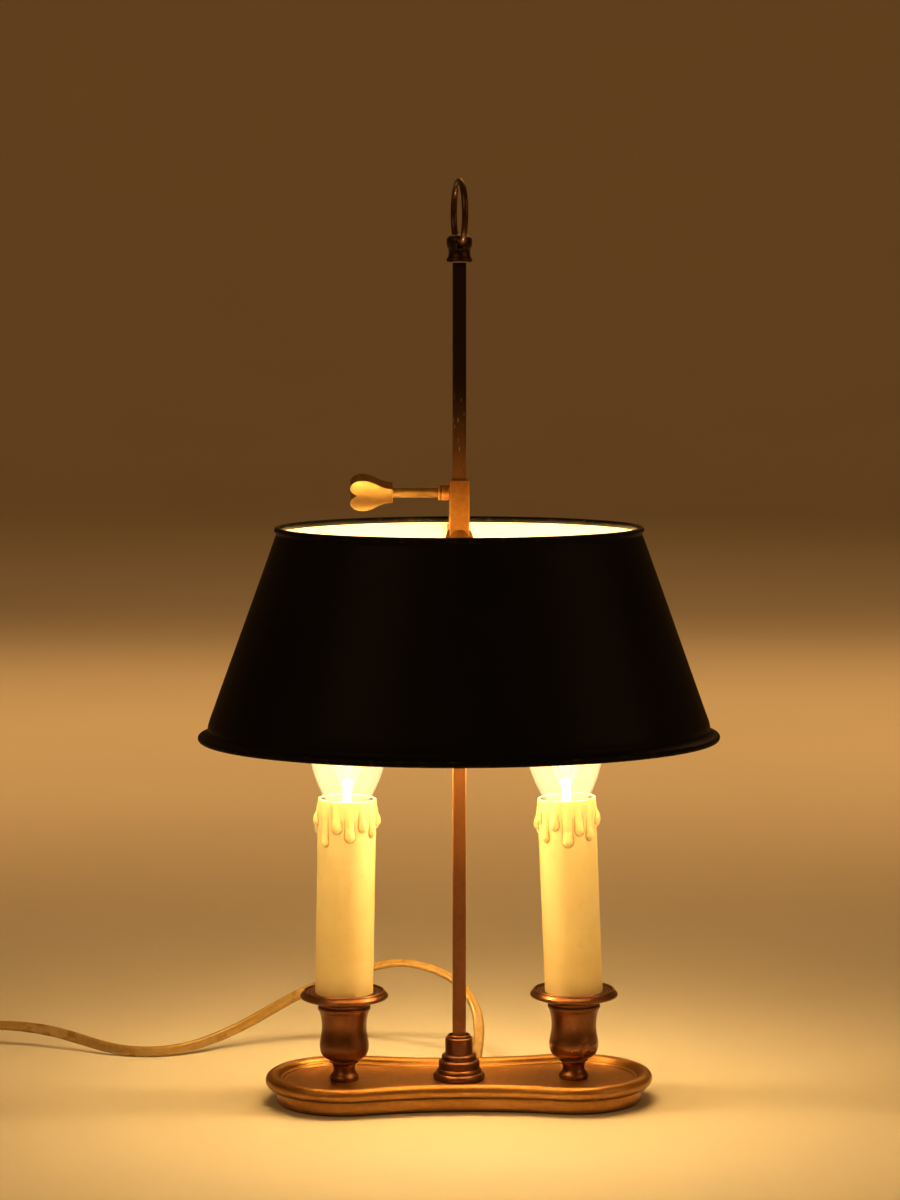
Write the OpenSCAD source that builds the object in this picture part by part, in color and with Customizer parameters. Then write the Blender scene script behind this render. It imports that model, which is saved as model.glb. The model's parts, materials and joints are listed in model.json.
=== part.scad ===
// Bouillotte table lamp: a rolled-rim tray with two candle lights, a square
// column, and an oval shade that slides on the column and is held by a
// heart-headed thumb screw. Millimetres, +Z up. The origin is on the table,
// under the column's axis; the tray's long side lies along X, the front is -Y.

/* [Base] */
// Length of the tray from end to end
base_l = 179; // [174:1:184]
// Depth of the tray across its waist
base_waist = 58.6; // [56:0.2:62]
// Radius of the tray's two round ends
lobe_r = 36.4; // [35:0.2:38]
// Radius of the rolled rim
rim_r = 3.3; // [3:0.1:3.5]
// Height of the tray floor's upper face
floor_z = 10; // [10:0.1:10.4]
// How far the plinth wall stands in from the rim
plinth_in = 5.1; // [4.8:0.1:5.4]

/* [Column] */
// Width across the flats of the square rod
rod_w = 6.1; // [5.8:0.1:6.2]
// Height at which the rod ends under the finial
rod_top = 386; // [370:1:392]
// Outer diameter of the finial ring
ring_d = 32; // [28:0.5:34]
// Thickness of the finial ring's wire
ring_wire = 2.9; // [2.4:0.1:3]
// Turn of the finial and its ring about the rod
finial_turn = 8; // [0:1:20]

/* [Candles] */
// Distance between the two candle centres
candle_span = 106.2; // [104:0.2:107]
// Outer diameter of the candle covers
candle_d = 26.8; // [26.6:0.1:27.4]
// Height of the candle covers' upper rim
candle_top = 141.5; // [138:0.5:145]
// How far the left light leans in towards the rod, in degrees
lean_left = 1.1; // [0:0.1:3]
// How far the right light leans in towards the rod, in degrees
lean_right = 2.4; // [0:0.1:3]
// Diameter of the drip pans
pan_d = 40.6; // [38:0.2:43]
// Largest diameter of the bulb glass
bulb_d = 35; // [34:0.5:35.5]

/* [Shade] */
// Half-length of the shade's upper rim
shade_top_a = 84.3; // [80:0.5:88]
// Half-length of the shade's lower rim
shade_low_a = 119.6; // [115:0.5:122]
// Depth of the oval divided by its length
shade_ratio = 0.75; // [0.68:0.01:0.8]
// Height of the shade's lower rim roll
shade_low = 169.9; // [168:0.1:174]
// Height of the shade's upper bead
shade_high = 264.9; // [262:0.1:265.5]
// Thickness of the shade's sheet
shade_t = 0.8; // [0.6:0.1:1]
// Width of the square sliding sleeve
sleeve_w = 9.1; // [8.9:0.1:9.6]
// Height of the thumb screw's axis
screw_z = 282; // [280:0.5:284]
// Turn of the heart head about the screw's axis
key_turn = 49; // [0:1:90]

/* [Cord] */
// Width of the flat two-core cord
cord_w = 5.2; // [4.6:0.1:5.2]
// Thickness of the flat two-core cord
cord_t = 2.6; // [2.2:0.1:2.6]

/* [Hidden] */
$fn = 64;
cx = candle_span / 2;
lc = base_l / 2 - lobe_r;                    // lobe centre
lw = base_waist / 2;                         // half depth of the waist
// waist arc, tangent to both lobes, centred outside the tray
lq = (lc * lc + lw * lw - lobe_r * lobe_r) / (2 * (lobe_r - lw));
lt = lobe_r / (lobe_r + lq);
lang = atan2((lw + lq) * lt, lc * (1 - lt) - lc);
floor_t = 2.4;
wall_t = 3;
rim_z = floor_z + 0.3;
felt_t = 0.8;
boot_x = 9.5;                                // where the cord leaves, in X
cord_z = 4.4;
hinge_z = rod_top + 8.1;                     // axis of the finial's cross hole
ring_r = (ring_d - ring_wire) / 2;
sweep_slope = (shade_low_a - 5.2 - (shade_top_a - 1.8)) / (shade_high - 0.4 - (shade_low + 6.3));

brass = [0.45, 0.30, 0.16];
dark_brass = [0.33, 0.20, 0.12];
steel = [0.62, 0.62, 0.60];
ivory = [0.93, 0.86, 0.66];

// Drips on each candle cover: angle from +X in degrees, length below the rim, radius
drips_left = [[223, 21, 2.1], [249.5, 14.5, 2.4], [276, 18.3, 2.35], [302.5, 13.9, 2.15], [328, 17, 2.1],
              [357, 12.7, 2.1], [20, 15, 2.2], [50, 12, 2], [80, 18, 2.3], [108, 13, 2.1],
              [136, 16, 2.2], [163, 17.2, 2], [186, 12.7, 2.2]];
drips_right = [[179, 14.3, 2.1], [198, 11, 1.9], [217.5, 19.2, 2.15], [240, 13.3, 2.2], [266.3, 21, 2.45], [290.5, 16, 2.15],
               [314, 18.8, 2.2], [344, 12.5, 2.2], [12, 15, 2.1], [38, 12, 2], [66, 18, 2.3], [94, 13, 2.1], [124, 16.5, 2.1], [154, 17.6, 2]];

// Route of the cord's centre line from the tapered strain relief to the in-line
// switch: up off the table in an arch behind the lamp, down to touch the table,
// and up again over its own stiffness. Each row is x, y, z and the roll of the
// flat cord: 0 lies flat, 90 stands on edge.
route = [[9.5, 46, 4.4, 0], [9.8, 51, 5.4, 0], [10.8, 57, 8.8, 0], [11.8, 63.5, 13.6, 0],
         [12.1, 70, 18.8, 0], [11, 76, 25, 0], [7, 82, 32.4, 5], [0, 88, 38, 10],
         [-10, 93.5, 42, 15], [-24, 99, 43.8, 20], [-38, 101.5, 41.6, 30], [-55, 104, 35.6, 45],
         [-74, 106.5, 27.4, 60], [-88, 107.5, 19.6, 75], [-102, 105.5, 12.2, 85],
         [-116, 100, 7, 90], [-130, 93.5, 3.8, 90], [-144, 90, 2.7, 90], [-158, 91.5, 2.8, 90],
         [-170, 97, 3.8, 85], [-182, 104, 5.8, 75], [-195, 110.5, 8, 65], [-209, 115.5, 9.4, 50],
         [-223, 119, 9.7, 35], [-234, 119.8, 9.4, 25], [-244.5, 117.2, 9, 15],
         [-253.5, 111.2, 8.6, 5], [-259.8, 102.6, 8.3, 0], [-262.6, 94, 8.2, 0], [-263, 84, 8.2, 0]];
// From the switch down to the table and into the coil's outer turn
route_mid = [[-263, 28, 8.2, 0], [-263, 19, 7.6, 15], [-262.6, 11, 6, 35], [-262, 3, 4.3, 60],
             [-261.2, -6, 3.3, 80], [-260.7, -15, 3, 90], [-260.5, -24, 3, 90]];
// From the top of the coil down to the plug
route_end = [[-321.5, -24, 8.2, 90], [-321.5, -17, 7.8, 90], [-321.5, -10, 6.7, 80],
             [-321.5, -3, 5.4, 60], [-321.5, 4, 4.8, 40], [-321.5, 11, 5.2, 20],
             [-321.5, 18, 6.4, 0], [-321.5, 24, 6.9, 0]];
coil = [-291, -24];                          // centre of the coil
coil_r = [22.5, 30.45];                      // radii of the first and last of its four columns
coil_h = 11;                                 // two layers of the cord on edge
sw = [-263, 56];                             // centre of the in-line switch
sw_l = 60;
sw_w = 25;
sw_h = 16.6;
plug_y = 24;                                 // rear face of the plug
plug_x = -321.5;

// ---------------------------------------------------------------- helpers

function arc(cx, cy, r, a0, a1, n) = [for (i = [0 : n]) let (a = a0 + (a1 - a0) * i / n) [cx + r * cos(a), cy + r * sin(a)]];

// Outline of the tray, set in by d. It starts at the right end and runs over
// the back, so that point i mirrors point N - i in the X axis.
pn = [16, 10];                               // steps on half a lobe, on a waist arc
PN = 4 * pn[0] + 2 * pn[1];
function peanut_points(d) = let (b = lang - 90, q = 2 * b / pn[1]) concat(
    arc(lc, 0, lobe_r - d, 0, lang, pn[0]),
    arc(0, lw + lq, lq + d, 270 + b - q, 270 - b + q, pn[1] - 2),
    arc(-lc, 0, lobe_r - d, 180 - lang, 180 + lang, 2 * pn[0]),
    arc(0, -(lw + lq), lq + d, 90 + b - q, 90 - b + q, pn[1] - 2),
    arc(lc, 0, lobe_r - d, -lang, -lang / pn[0], pn[0] - 1));

module peanut(d) polygon(peanut_points(d));

// Solid swept round the tray from a section of (distance in from the rim,
// height) pairs, closed below and above by flat faces
function cap_faces(k) = [for (i = [0 : PN / 2 - 1])
    i == 0 ? [k * PN, k * PN + 1, k * PN + PN - 1] :
    i == PN / 2 - 1 ? [k * PN + i, k * PN + i + 1, k * PN + i + 2] :
    [k * PN + i, k * PN + i + 1, k * PN + PN - i - 1, k * PN + PN - i]];
function flip(f) = [for (i = [len(f) - 1 : -1 : 0]) f[i]];
module swept_tray(section) {
    m = len(section);
    polyhedron(points = [for (q = section) each [for (p = peanut_points(q[0])) [p[0], p[1], q[1]]]],
        faces = concat([for (f = cap_faces(0)) f], [for (f = cap_faces(m - 1)) flip(f)],
            [for (k = [0 : m - 2], i = [0 : PN - 1]) let (j = (i + 1) % PN) each
                [[k * PN + i, (k + 1) * PN + j, k * PN + j], [k * PN + i, (k + 1) * PN + i, (k + 1) * PN + j]]]), convexity = 6);
}

module ring_z(ro, ri, z0, z1) translate([0, 0, z0]) difference() {
    cylinder(r = ro, h = z1 - z0);
    translate([0, 0, -1]) cylinder(r = ri, h = z1 - z0 + 2);
}

module hex(af, z0, z1, bore) translate([0, 0, z0]) difference() {
    cylinder(d = af / cos(30), h = z1 - z0, $fn = 6);
    translate([0, 0, -1]) cylinder(d = bore, h = z1 - z0 + 2, $fn = 48);
}

function unit(v) = v / norm(v);
function along(p, i) = unit([for (k = [0 : 2]) p[min(i + 1, len(p) - 1)][k] - p[max(i - 1, 0)][k]]);
function end_along(p, i, d) = i == 0 || i == len(p) - 1 ? d : along(p, i);
// One ring of the flat cord's tube: an oval across the route, rolled by its fourth number
function cord_ring(p, i, d0, d1, n) = let (
    t = i == 0 ? d0 : i == len(p) - 1 ? d1 : along(p, i),
    side = unit(cross(t, [0, 0, 1])),
    up = cross(side, t),
    w = cos(p[i][3]) * side + sin(p[i][3]) * up,
    h = cross(w, t))
    [for (k = [0 : n - 1]) let (a = 360 * (k + 0.5) / n)
        [p[i][0], p[i][1], p[i][2]] + w * (cord_w / 2 * cos(a)) + h * (cord_t / 2 * sin(a))];

module cord_tube(p, d0, d1, n = 10) {
    pts = [for (i = [0 : len(p) - 1]) each cord_ring(p, i, d0, d1, n)];
    m = len(p);
    polyhedron(points = pts, faces = concat(
        [[for (k = [n - 1 : -1 : 0]) k]],
        [for (i = [0 : m - 2], k = [0 : n - 1]) each
            [[i * n + k, (i + 1) * n + (k + 1) % n, (i + 1) * n + k],
             [i * n + k, i * n + (k + 1) % n, (i + 1) * n + (k + 1) % n]]],
        [[for (k = [0 : n - 1]) (m - 1) * n + k]]), convexity = 8);
}

// A round wire through points, its section carried along without twist
function across(s, t) = unit(s - (s * t) * t);
function carried(p, i, s0) = i == 0 ? across(s0, along(p, 0)) : across(carried(p, i - 1, s0), along(p, i));
module wire(p, r, s0 = [0.31, 0.94, 0.12], n = 8) {
    m = len(p);
    polyhedron(points = [for (i = [0 : m - 1]) let (t = along(p, i), a = carried(p, i, s0), b = cross(t, a))
            each [for (k = [0 : n - 1]) p[i] + r * (cos(360 * k / n) * a + sin(360 * k / n) * b)]],
        faces = concat([[for (k = [0 : n - 1]) k]],
            [for (i = [0 : m - 2], k = [0 : n - 1]) each
                [[i * n + k, (i + 1) * n + k, (i + 1) * n + (k + 1) % n],
                 [i * n + k, (i + 1) * n + (k + 1) % n, i * n + (k + 1) % n]]],
            [[for (k = [n - 1 : -1 : 0]) (m - 1) * n + k]]), convexity = 6);
}

// ---------------------------------------------------------------- base

// Section of the tray from the floor's underside, round the plinth wall, up over
// the rolled rim and down its cove to the floor's upper face
plinth_top = acos((plinth_in - rim_r) / rim_r);
tray_section = concat(
    [[plinth_in + wall_t, floor_z - floor_t], [plinth_in + wall_t, felt_t], [plinth_in + 0.35, felt_t], [plinth_in, felt_t + 0.35]],
    arc(rim_r, rim_z, rim_r, -plinth_top, -326, 15),
    arc(rim_r + 5.2, floor_z + 2.45, 2.45, 200, 262, 3),
    [[rim_r + 5.4, floor_z]]);

module base_tray() color(brass) difference() {
    union() {
        swept_tray(tray_section);
        for (s = [-1, 1]) translate([s * 30, 0, 2.05]) cylinder(d = 7, h = 6);
    }
    translate([0, 0, -1]) cylinder(d = 5.3, h = 20);
    for (s = [-1, 1]) {
        translate([s * cx, 0, -1]) cylinder(d = 7.3, h = 20);
        translate([s * 30, 0, 1]) cylinder(d = 3.1, h = 6.2, $fn = 32);
    }
    translate([boot_x, 18, cord_z]) rotate([-90, 0, 0]) cylinder(d = 6.3, h = 8, $fn = 48);
    for (s = [-1, 1]) translate([boot_x + s * 5.5, 18.6, 6]) cylinder(d = 2.1, h = 3.3, $fn = 32);
}

module bottom_cover() color(steel) difference() {
    translate([0, 0, felt_t]) linear_extrude(1.2) peanut(plinth_in + wall_t + 0.3);
    for (s = [-1, 1]) translate([s * 30, 0, felt_t]) {
        translate([0, 0, -1]) cylinder(d = 3.4, h = 4, $fn = 32);
        translate([0, 0, -0.1]) cylinder(d1 = 6.4, d2 = 4.2, h = 1.1, $fn = 32);
    }
}

module cover_screws() color(steel) for (s = [-1, 1]) translate([s * 30, 0, felt_t]) difference() {
    union() {
        cylinder(d = 3, h = 5.4, $fn = 32);
        cylinder(d1 = 6, d2 = 3.1, h = 1, $fn = 32);
    }
    translate([-4, -0.35, -0.5]) cube([8, 0.7, 1]);
}

module felt_pad() color([0.16, 0.24, 0.17]) linear_extrude(felt_t) peanut(plinth_in + 0.9);

// ---------------------------------------------------------------- column

module rod() color(dark_brass) union() {
    c = 0.35;
    h = rod_w / 2;
    translate([0, 0, 14]) linear_extrude(rod_top - 14)
        polygon([[h - c, -h], [h, -h + c], [h, h - c], [h - c, h], [-h + c, h], [-h, h - c], [-h, -h + c], [-h + c, -h]]);
    translate([0, 0, 3.6]) cylinder(d = 5, h = 12);
    translate([0, 0, rod_top - 1]) cylinder(d = 4, h = 5.4, $fn = 32);
}

module rod_collar() color(dark_brass) difference() {
    z = floor_z;
    rotate_extrude($fn = 96) polygon([[0, z], [10.7, z], [11.5, z + 0.4], [11.85, z + 1], [11.93, z + 1.6],
        [11.8, z + 2.3], [11.4, z + 2.9], [10.8, z + 3.3], [10.45, z + 3.4], [10.45, z + 3.9], [10.2, z + 4.5],
        [9.8, z + 5], [9.5, z + 5.4], [9.5, z + 7.9], [9.35, z + 8.5], [8.9, z + 9], [8.35, z + 9.3],
        [8.07, z + 9.9], [8.07, z + 10.9], [7.8, z + 11.5], [7.2, z + 11.9], [6.45, z + 12.1],
        [6.45, z + 18.8], [6.3, z + 19.3], [5.9, z + 19.6], [5.3, z + 19.7], [5.35, z + 20.3],
        [5.15, z + 20.8], [4.85, z + 21], [0, z + 21]]);
    translate([0, 0, z - 1]) cylinder(d = 5.3, h = 10);
    translate([-3.2, -3.2, z + 3.95]) cube([6.4, 6.4, 30]);
}

module rod_washer() color(steel) ring_z(6, 2.65, 6.9, 7.58);
module rod_nut() color(steel) hex(8, 4, 6.9, 5.1);

// ---------------------------------------------------------------- candle lights

// Turned vase-shaped cup, hollow above its stem
module cup() color(dark_brass) {
    z = floor_z;
    rotate_extrude($fn = 96) polygon([[3.65, z], [6.2, z], [6.6, z + 0.5], [6.77, z + 1.2], [6.65, z + 2],
        [6.1, z + 2.8], [5.45, z + 3.7], [5.12, z + 4.8], [5.08, z + 6], [5.3, z + 7], [5.75, z + 7.8],
        [6.35, z + 8.3], [6.82, z + 8.6], [6.82, z + 9.4], [6.6, z + 9.6], [7.3, z + 9.9], [8.5, z + 10.4], [9.6, z + 11.1],
        [10.5, z + 12.2], [11.05, z + 13.6], [11.35, z + 15.2], [11.38, z + 16.6], [11.15, z + 18.6],
        [10.75, z + 20.8], [10.45, z + 23], [10.35, z + 25], [10.45, z + 27.4], [10.75, z + 29.6],
        [11.2, z + 31.4], [11.75, z + 32.8], [12.15, z + 33.6], [12.18, z + 34.05], [9.9, z + 34.05], [8.6, z + 31],
        [8.4, z + 25], [9, z + 17], [8.2, z + 13.5], [5.5, z + 12], [3.65, z + 12]]);
}

// Drip pan that caps the cup and carries the candle cover
module bobeche() color(brass) {
    z = floor_z + 34.1;
    rotate_extrude($fn = 96) polygon([[9.9, z], [12.1, z], [12.15, z + 0.35], [11.5, z + 0.75], [11.4, z + 1.5], [11.6, z + 2.2], [12.6, z + 2.9],
        [14.5, z + 3.5], [17, z + 3.95], [19.3, z + 4.3], [pan_d / 2 - 0.15, z + 4.7], [pan_d / 2, z + 5.3],
        [pan_d / 2 - 0.25, z + 5.9], [19.5, z + 6.6], [18.9, z + 7.3], [18.6, z + 7.9], [18.3, z + 8.05], [18, z + 7.9],
        [17.7, z + 7.3], [16.8, z + 6.9], [15, z + 6.72], [3.65, z + 6.7], [3.65, z + 5.2], [9.9, z + 5.2]]);
}

module nipple() color(brass) ring_z(3.5, 2.3, 4.4, 57);

module nipple_nuts() color(steel) for (s = [-1, 1]) translate([s * cx, 0, 0]) {
    hex(11, 4.6, 7, 7.1);
    hex(11, 52.05, 54.5, 7.1);
}
module nipple_washers() color(steel) for (s = [-1, 1]) translate([s * cx, 0, 0]) ring_z(7.5, 3.65, 7, 7.58);

// Tilts a light in towards the rod, about the top of its drip pan
well_z = 50.85;
function lean(s) = s < 0 ? lean_left : lean_right;
module leaning(s) translate([0, 0, well_z]) rotate([0, -s * lean(s), 0]) translate([0, 0, -well_z]) children();

// C-shaped steel bracket that holds the lampholder on the nipple, its upright a little bent
module holder_bracket(s) color(steel) union() {
    ring_z(9, 3.65, well_z, 52.05);
    leaning(s) {
        translate([-4, 7.4, 51.1]) cube([8, 1.2, 42.65]);
        difference() {
            translate([0, 0, 92.55]) cylinder(r = 8.2, h = 1.2);
            translate([0, 0, 90]) cylinder(r = 1.6, h = 6, $fn = 32);
            translate([-2, -9, 92]) cube([4, 4, 3]);
        }
    }
}

// Phenolic candle lampholder: a well for the cap, open at the top
module lampholder() color([0.12, 0.1, 0.09]) difference() {
    union() {
        translate([0, 0, 93.8]) cylinder(r = 10.6, h = 36);
        translate([0, 0, 96]) cylinder(r = 11.4, h = 8);
    }
    translate([0, 0, 103]) cylinder(r = 7.75, h = 30);
    translate([0, 0, 99]) cylinder(r = 4, h = 6, $fn = 48);
    translate([0, 0, 92]) cylinder(r = 1.4, h = 5, $fn = 32);
}
module socket_shell() color(brass) ring_z(7.7, 7.05, 104, 129.6);
module socket_contact() color(brass) union() {
    translate([0, 0, 99.05]) cylinder(r = 3.6, h = 1, $fn = 48);
    translate([0, 0, 99.5]) cylinder(r = 1.6, h = 8, $fn = 32);
}

// Candle cover: a card and resin tube with wax-like drips moulded round its rim, its foot cut level
module candle_cover(s, drips) color(ivory) difference() {
    leaning(s) difference() {
        union() {
            translate([0, 0, well_z - 1]) cylinder(d = candle_d, h = candle_top - 7 - well_z + 1);
            translate([0, 0, candle_top - 9]) cylinder(d1 = candle_d, d2 = candle_d + 0.9, h = 1.6);
            translate([0, 0, candle_top - 7.4]) cylinder(d1 = candle_d + 0.9, d2 = candle_d - 0.1, h = 7.4);
            for (d = drips) rotate([0, 0, d[0]]) translate([candle_d / 2 - 0.35, 0, 0]) {
                translate([0, 0, candle_top - d[1] + d[2]]) cylinder(r1 = d[2] - 0.25, r2 = 0.8, h = d[1] - d[2] - 0.6, $fn = 20);
                translate([0, 0, candle_top - d[1] + d[2]]) sphere(r = d[2] + 0.2, $fn = 20);
            }
        }
        translate([0, 0, 40]) cylinder(d = candle_d - 2.6, h = 110);
    }
    translate([0, 0, well_z - 8]) cylinder(r = 20, h = 8, $fn = 48);
}

// Candle-shaped bulb: clear envelope open at its neck, with the cap and the filament
bulb_out = [[6.75, 131.2], [6.9, 133], [8.1, 136.5], [9.7, 139.8], [11.4, 143], [13.2, 146.8], [14.9, 151], [16.3, 155.5],
            [17.2, 160], [17.5, 164.3], [17.25, 168.6], [16.5, 173], [15.3, 177.4], [13.6, 181.8], [11.5, 186.2],
            [9.2, 190.4], [6.9, 194.4], [4.8, 198.2], [3, 201.6], [1.6, 204.2], [0.6, 205.6], [0, 206]];
bulb_k = bulb_d / 35;
module bulb_glass() color([0.98, 0.94, 0.82, 0.4]) rotate_extrude($fn = 72) polygon(concat(
    [for (q = bulb_out) [q[0] * bulb_k, q[1]]],
    [for (i = [len(bulb_out) - 1 : -1 : 0]) let (q = bulb_out[i]) [max(0, q[0] * bulb_k - 0.7), i > 17 ? q[1] - 0.7 - 0.15 * (i - 17) : q[1]]]));

module bulb_cap() color([0.75, 0.72, 0.62]) union() {
    translate([0, 0, 107.6]) cylinder(r1 = 2.2, r2 = 2.6, h = 1, $fn = 48);
    translate([0, 0, 108.5]) cylinder(r1 = 3, r2 = 6, h = 3, $fn = 48);
    translate([0, 0, 111.5]) cylinder(r = 6.5, h = 2);
    for (i = [0 : 5]) translate([0, 0, 113.5 + i * 2.6]) {
        cylinder(r1 = 6.5, r2 = 6.95, h = 1.3);
        translate([0, 0, 1.3]) cylinder(r1 = 6.95, r2 = 6.5, h = 1.3);
    }
    translate([0, 0, 129.1]) cylinder(r = 6.75, h = 2.1);
}

// Glass stem with two upright support wires and the filament strung between them
module filament() color([1, 0.85, 0.5]) union() {
    translate([0, 0, 131.25]) cylinder(r1 = 4.5, r2 = 2.2, h = 8, $fn = 32);
    translate([0, 0, 139]) cylinder(r = 1.5, h = 9, $fn = 32);
    wire([[-0.7, 0, 146], [-1.2, 0, 148.5], [-3.2, 0, 153], [-3.2, 0, 169.5], [-2.6, 0, 170.5], [-1.7, 0, 160], [-0.9, 0, 159],
          [-0.1, 0, 170.5], [0.6, 0, 170.5], [1.2, 0, 159], [2, 0, 159.6], [2.7, 0, 170.3], [3.3, 0, 169], [3.2, 0, 153], [1.2, 0, 148.5], [0.7, 0, 146]], 0.35, [0, 1, 0], 6);
}

// ---------------------------------------------------------------- finial

module finial_cap() color(dark_brass) rotate([0, 0, finial_turn]) difference() {
    z = rod_top;
    rotate_extrude($fn = 96) polygon([[0, z], [5.5, z], [5.85, z + 0.4], [5.9, z + 1], [5.75, z + 1.7], [5.3, z + 2.4],
        [4.98, z + 3.5], [4.9, z + 4.6], [5.02, z + 5.6], [5.4, z + 6.6], [5.7, z + 7.9], [5.83, z + 9.3], [5.8, z + 10.3],
        [5.4, z + 11.2], [4.5, z + 11.9], [3, z + 12.4], [1.4, z + 12.7], [0, z + 12.75]]);
    translate([0, 0, z - 1]) cylinder(d = 4.1, h = 5.7, $fn = 48);
    translate([0, 20, hinge_z]) rotate([90, 0, 0]) cylinder(r = 2.4, h = 40, $fn = 48);
}

module finial_ring() color(dark_brass) rotate([0, 0, finial_turn])
    translate([0, 0, hinge_z - 0.62 + ring_r]) rotate([0, 90, 0]) rotate_extrude($fn = 96)
        translate([ring_r, 0]) circle(d = ring_wire, $fn = 32);

// ---------------------------------------------------------------- shade

shade_a0 = shade_top_a - 1.8;                // sheet at the upper bead
function sheet(z) = shade_a0 + (shade_high - 0.4 - z) * sweep_slope;
shade_section = concat(
    arc(shade_low_a - 1.5, shade_low, 1.5, 200, 440, 8),
    [[sheet(shade_low + 3.4) - 0.3, shade_low + 3.4], [sheet(shade_low + 5) + 0.1, shade_low + 5], [sheet(shade_low + 7.4) + shade_t / 2, shade_low + 7.4]],
    [[sheet(shade_high - 45) + shade_t / 2, shade_high - 45], [sheet(shade_high - 1.6) + shade_t / 2, shade_high - 1.6]],
    arc(shade_top_a - 1.4, shade_high, 1.4, -50, 230, 9),
    [[sheet(shade_high - 1.8) - shade_t / 2, shade_high - 1.8], [sheet(shade_high - 45) - shade_t / 2, shade_high - 45], [sheet(shade_low + 7) - shade_t / 2, shade_low + 7],
     [sheet(shade_low + 4.4) - 0.7, shade_low + 4.4], [sheet(shade_low + 2.4) - 1.1, shade_low + 2.4]]);

// Oval sheet-metal shade with a wired upper bead and a flared, rolled lower rim
module shade_shell() color([0.03, 0.03, 0.035]) {
    n = 96;
    m = len(shade_section);
    polyhedron(points = [for (i = [0 : n - 1], q = shade_section) [q[0] * cos(360 * i / n), shade_ratio * q[0] * sin(360 * i / n), q[1]]],
        faces = [for (i = [0 : n - 1], k = [0 : m - 1]) let (j = (i + 1) % n, l = (k + 1) % m) each
            [[i * m + k, j * m + l, j * m + k], [i * m + k, i * m + l, j * m + l]]], convexity = 6);
}

spider_z = 256.7;
// Four flat arms with tabs bent up and soldered inside the shade
module shade_spider() color(dark_brass) difference() {
    union() {
        translate([0, 0, spider_z]) cylinder(r = 11, h = 1.5);
        for (q = [0 : 3]) {
            // reach of the sheet's inner face at the foot of the tab
            reach = (q % 2 == 0 ? 1 : shade_ratio) * (sheet(spider_z) - shade_t / 2 - 0.35);
            lean = atan(sweep_slope * (q % 2 == 0 ? 1 : shade_ratio));
            rotate([0, 0, 90 * q]) {
                translate([5, -3.5, spider_z]) cube([reach - 6.2, 7, 1.5]);
                translate([reach - 1.25, -3.5, spider_z]) rotate([0, -lean, 0]) cube([1.2, 7, 6]);
            }
        }
    }
    translate([0, 0, spider_z - 5]) cylinder(r = 6.1, h = 10);
}

// Square sleeve on the rod, with a turned foot that stands on the spider
module shade_sleeve() color(dark_brass) difference() {
    union() {
        translate([-sleeve_w / 2, -sleeve_w / 2, 259]) cube([sleeve_w, sleeve_w, 28.6]);
        rotate_extrude($fn = 72) polygon([[0, spider_z + 1.55], [8.6, spider_z + 1.55], [8.8, spider_z + 2.1], [8.5, spider_z + 2.8],
            [7.4, spider_z + 3.3], [6.6, spider_z + 4.3], [6.1, spider_z + 5.6], [5.6, spider_z + 7], [5, spider_z + 8], [0, spider_z + 8]]);
        translate([0, 0, 250.6]) cylinder(r = 6, h = 9);
    }
    translate([-rod_w / 2 - 0.2, -rod_w / 2 - 0.2, 240]) cube([rod_w + 0.4, rod_w + 0.4, 60]);
    translate([0, 0, screw_z]) rotate([0, -90, 0]) cylinder(r = 2.35, h = 10, $fn = 48);
}

module sleeve_nut() color(dark_brass) hex(16, 252.4, spider_z - 0.05, 12.1);

// Round boss on the sleeve's left face, bored for the thumb screw
module screw_boss() color(dark_brass) translate([-sleeve_w / 2, 0, screw_z]) rotate([0, -90, 0]) difference() {
    union() {
        translate([0, 0, 0.02]) cylinder(r = 3.64, h = 3.6);
        translate([0, 0, 3.6]) cylinder(r = 3.2, h = 0.5);
        translate([0, 0, 4]) cylinder(r = 3.64, h = 1.1);
    }
    translate([0, 0, -1]) cylinder(r = 2.35, h = 8, $fn = 48);
}

module heart() {
    for (s = [-1, 1]) translate([14, s * 4.55]) circle(r = 5.2, $fn = 64);
    polygon([[0, -4.35], [1.6, -4.5], [4.5, -5.3], [7.6, -7], [10.5, -8.4], [14, -4.55], [16.4, 0],
             [14, 4.55], [10.5, 8.4], [7.6, 7], [4.5, 5.3], [1.6, 4.5], [0, 4.35]]);
}

// Long thumb screw with a thick heart-shaped head
module thumb_screw() color(brass) translate([-rod_w / 2 - 0.2, 0, screw_z]) rotate([0, -90, 0]) union() {
    cylinder(r = 1.7, h = 0.6, $fn = 48);
    translate([0, 0, 0.5]) cylinder(r = 2.3, h = 29);
    rotate([0, 0, key_turn - 90]) translate([0, 2.45, 27.1]) rotate([90, -90, 0]) linear_extrude(4.9) heart();
}

// ---------------------------------------------------------------- wiring in the base

module slot2d(w, h) hull() for (s = [-1, 1]) translate([s * (w - h) / 2, 0]) circle(d = h, $fn = 32);

// Tapered strain relief pressed into the plinth's back wall
module strain_relief() color([0.75, 0.6, 0.3]) translate([boot_x, 0, cord_z]) difference() {
    union() {
        translate([0, 22, 0]) rotate([-90, 0, 0]) cylinder(d = 6.2, h = 3, $fn = 48);
        hull() {
            translate([0, 24.9, 0]) rotate([-90, 0, 0]) linear_extrude(0.4) slot2d(6.8, 4.8);
            translate([0, 45.6, 0]) rotate([-90, 0, 0]) linear_extrude(0.4) slot2d(6.2, 3.6);
        }
    }
    translate([-2.65, 15, -1.35]) cube([5.3, 40, 2.7]);
}

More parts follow.
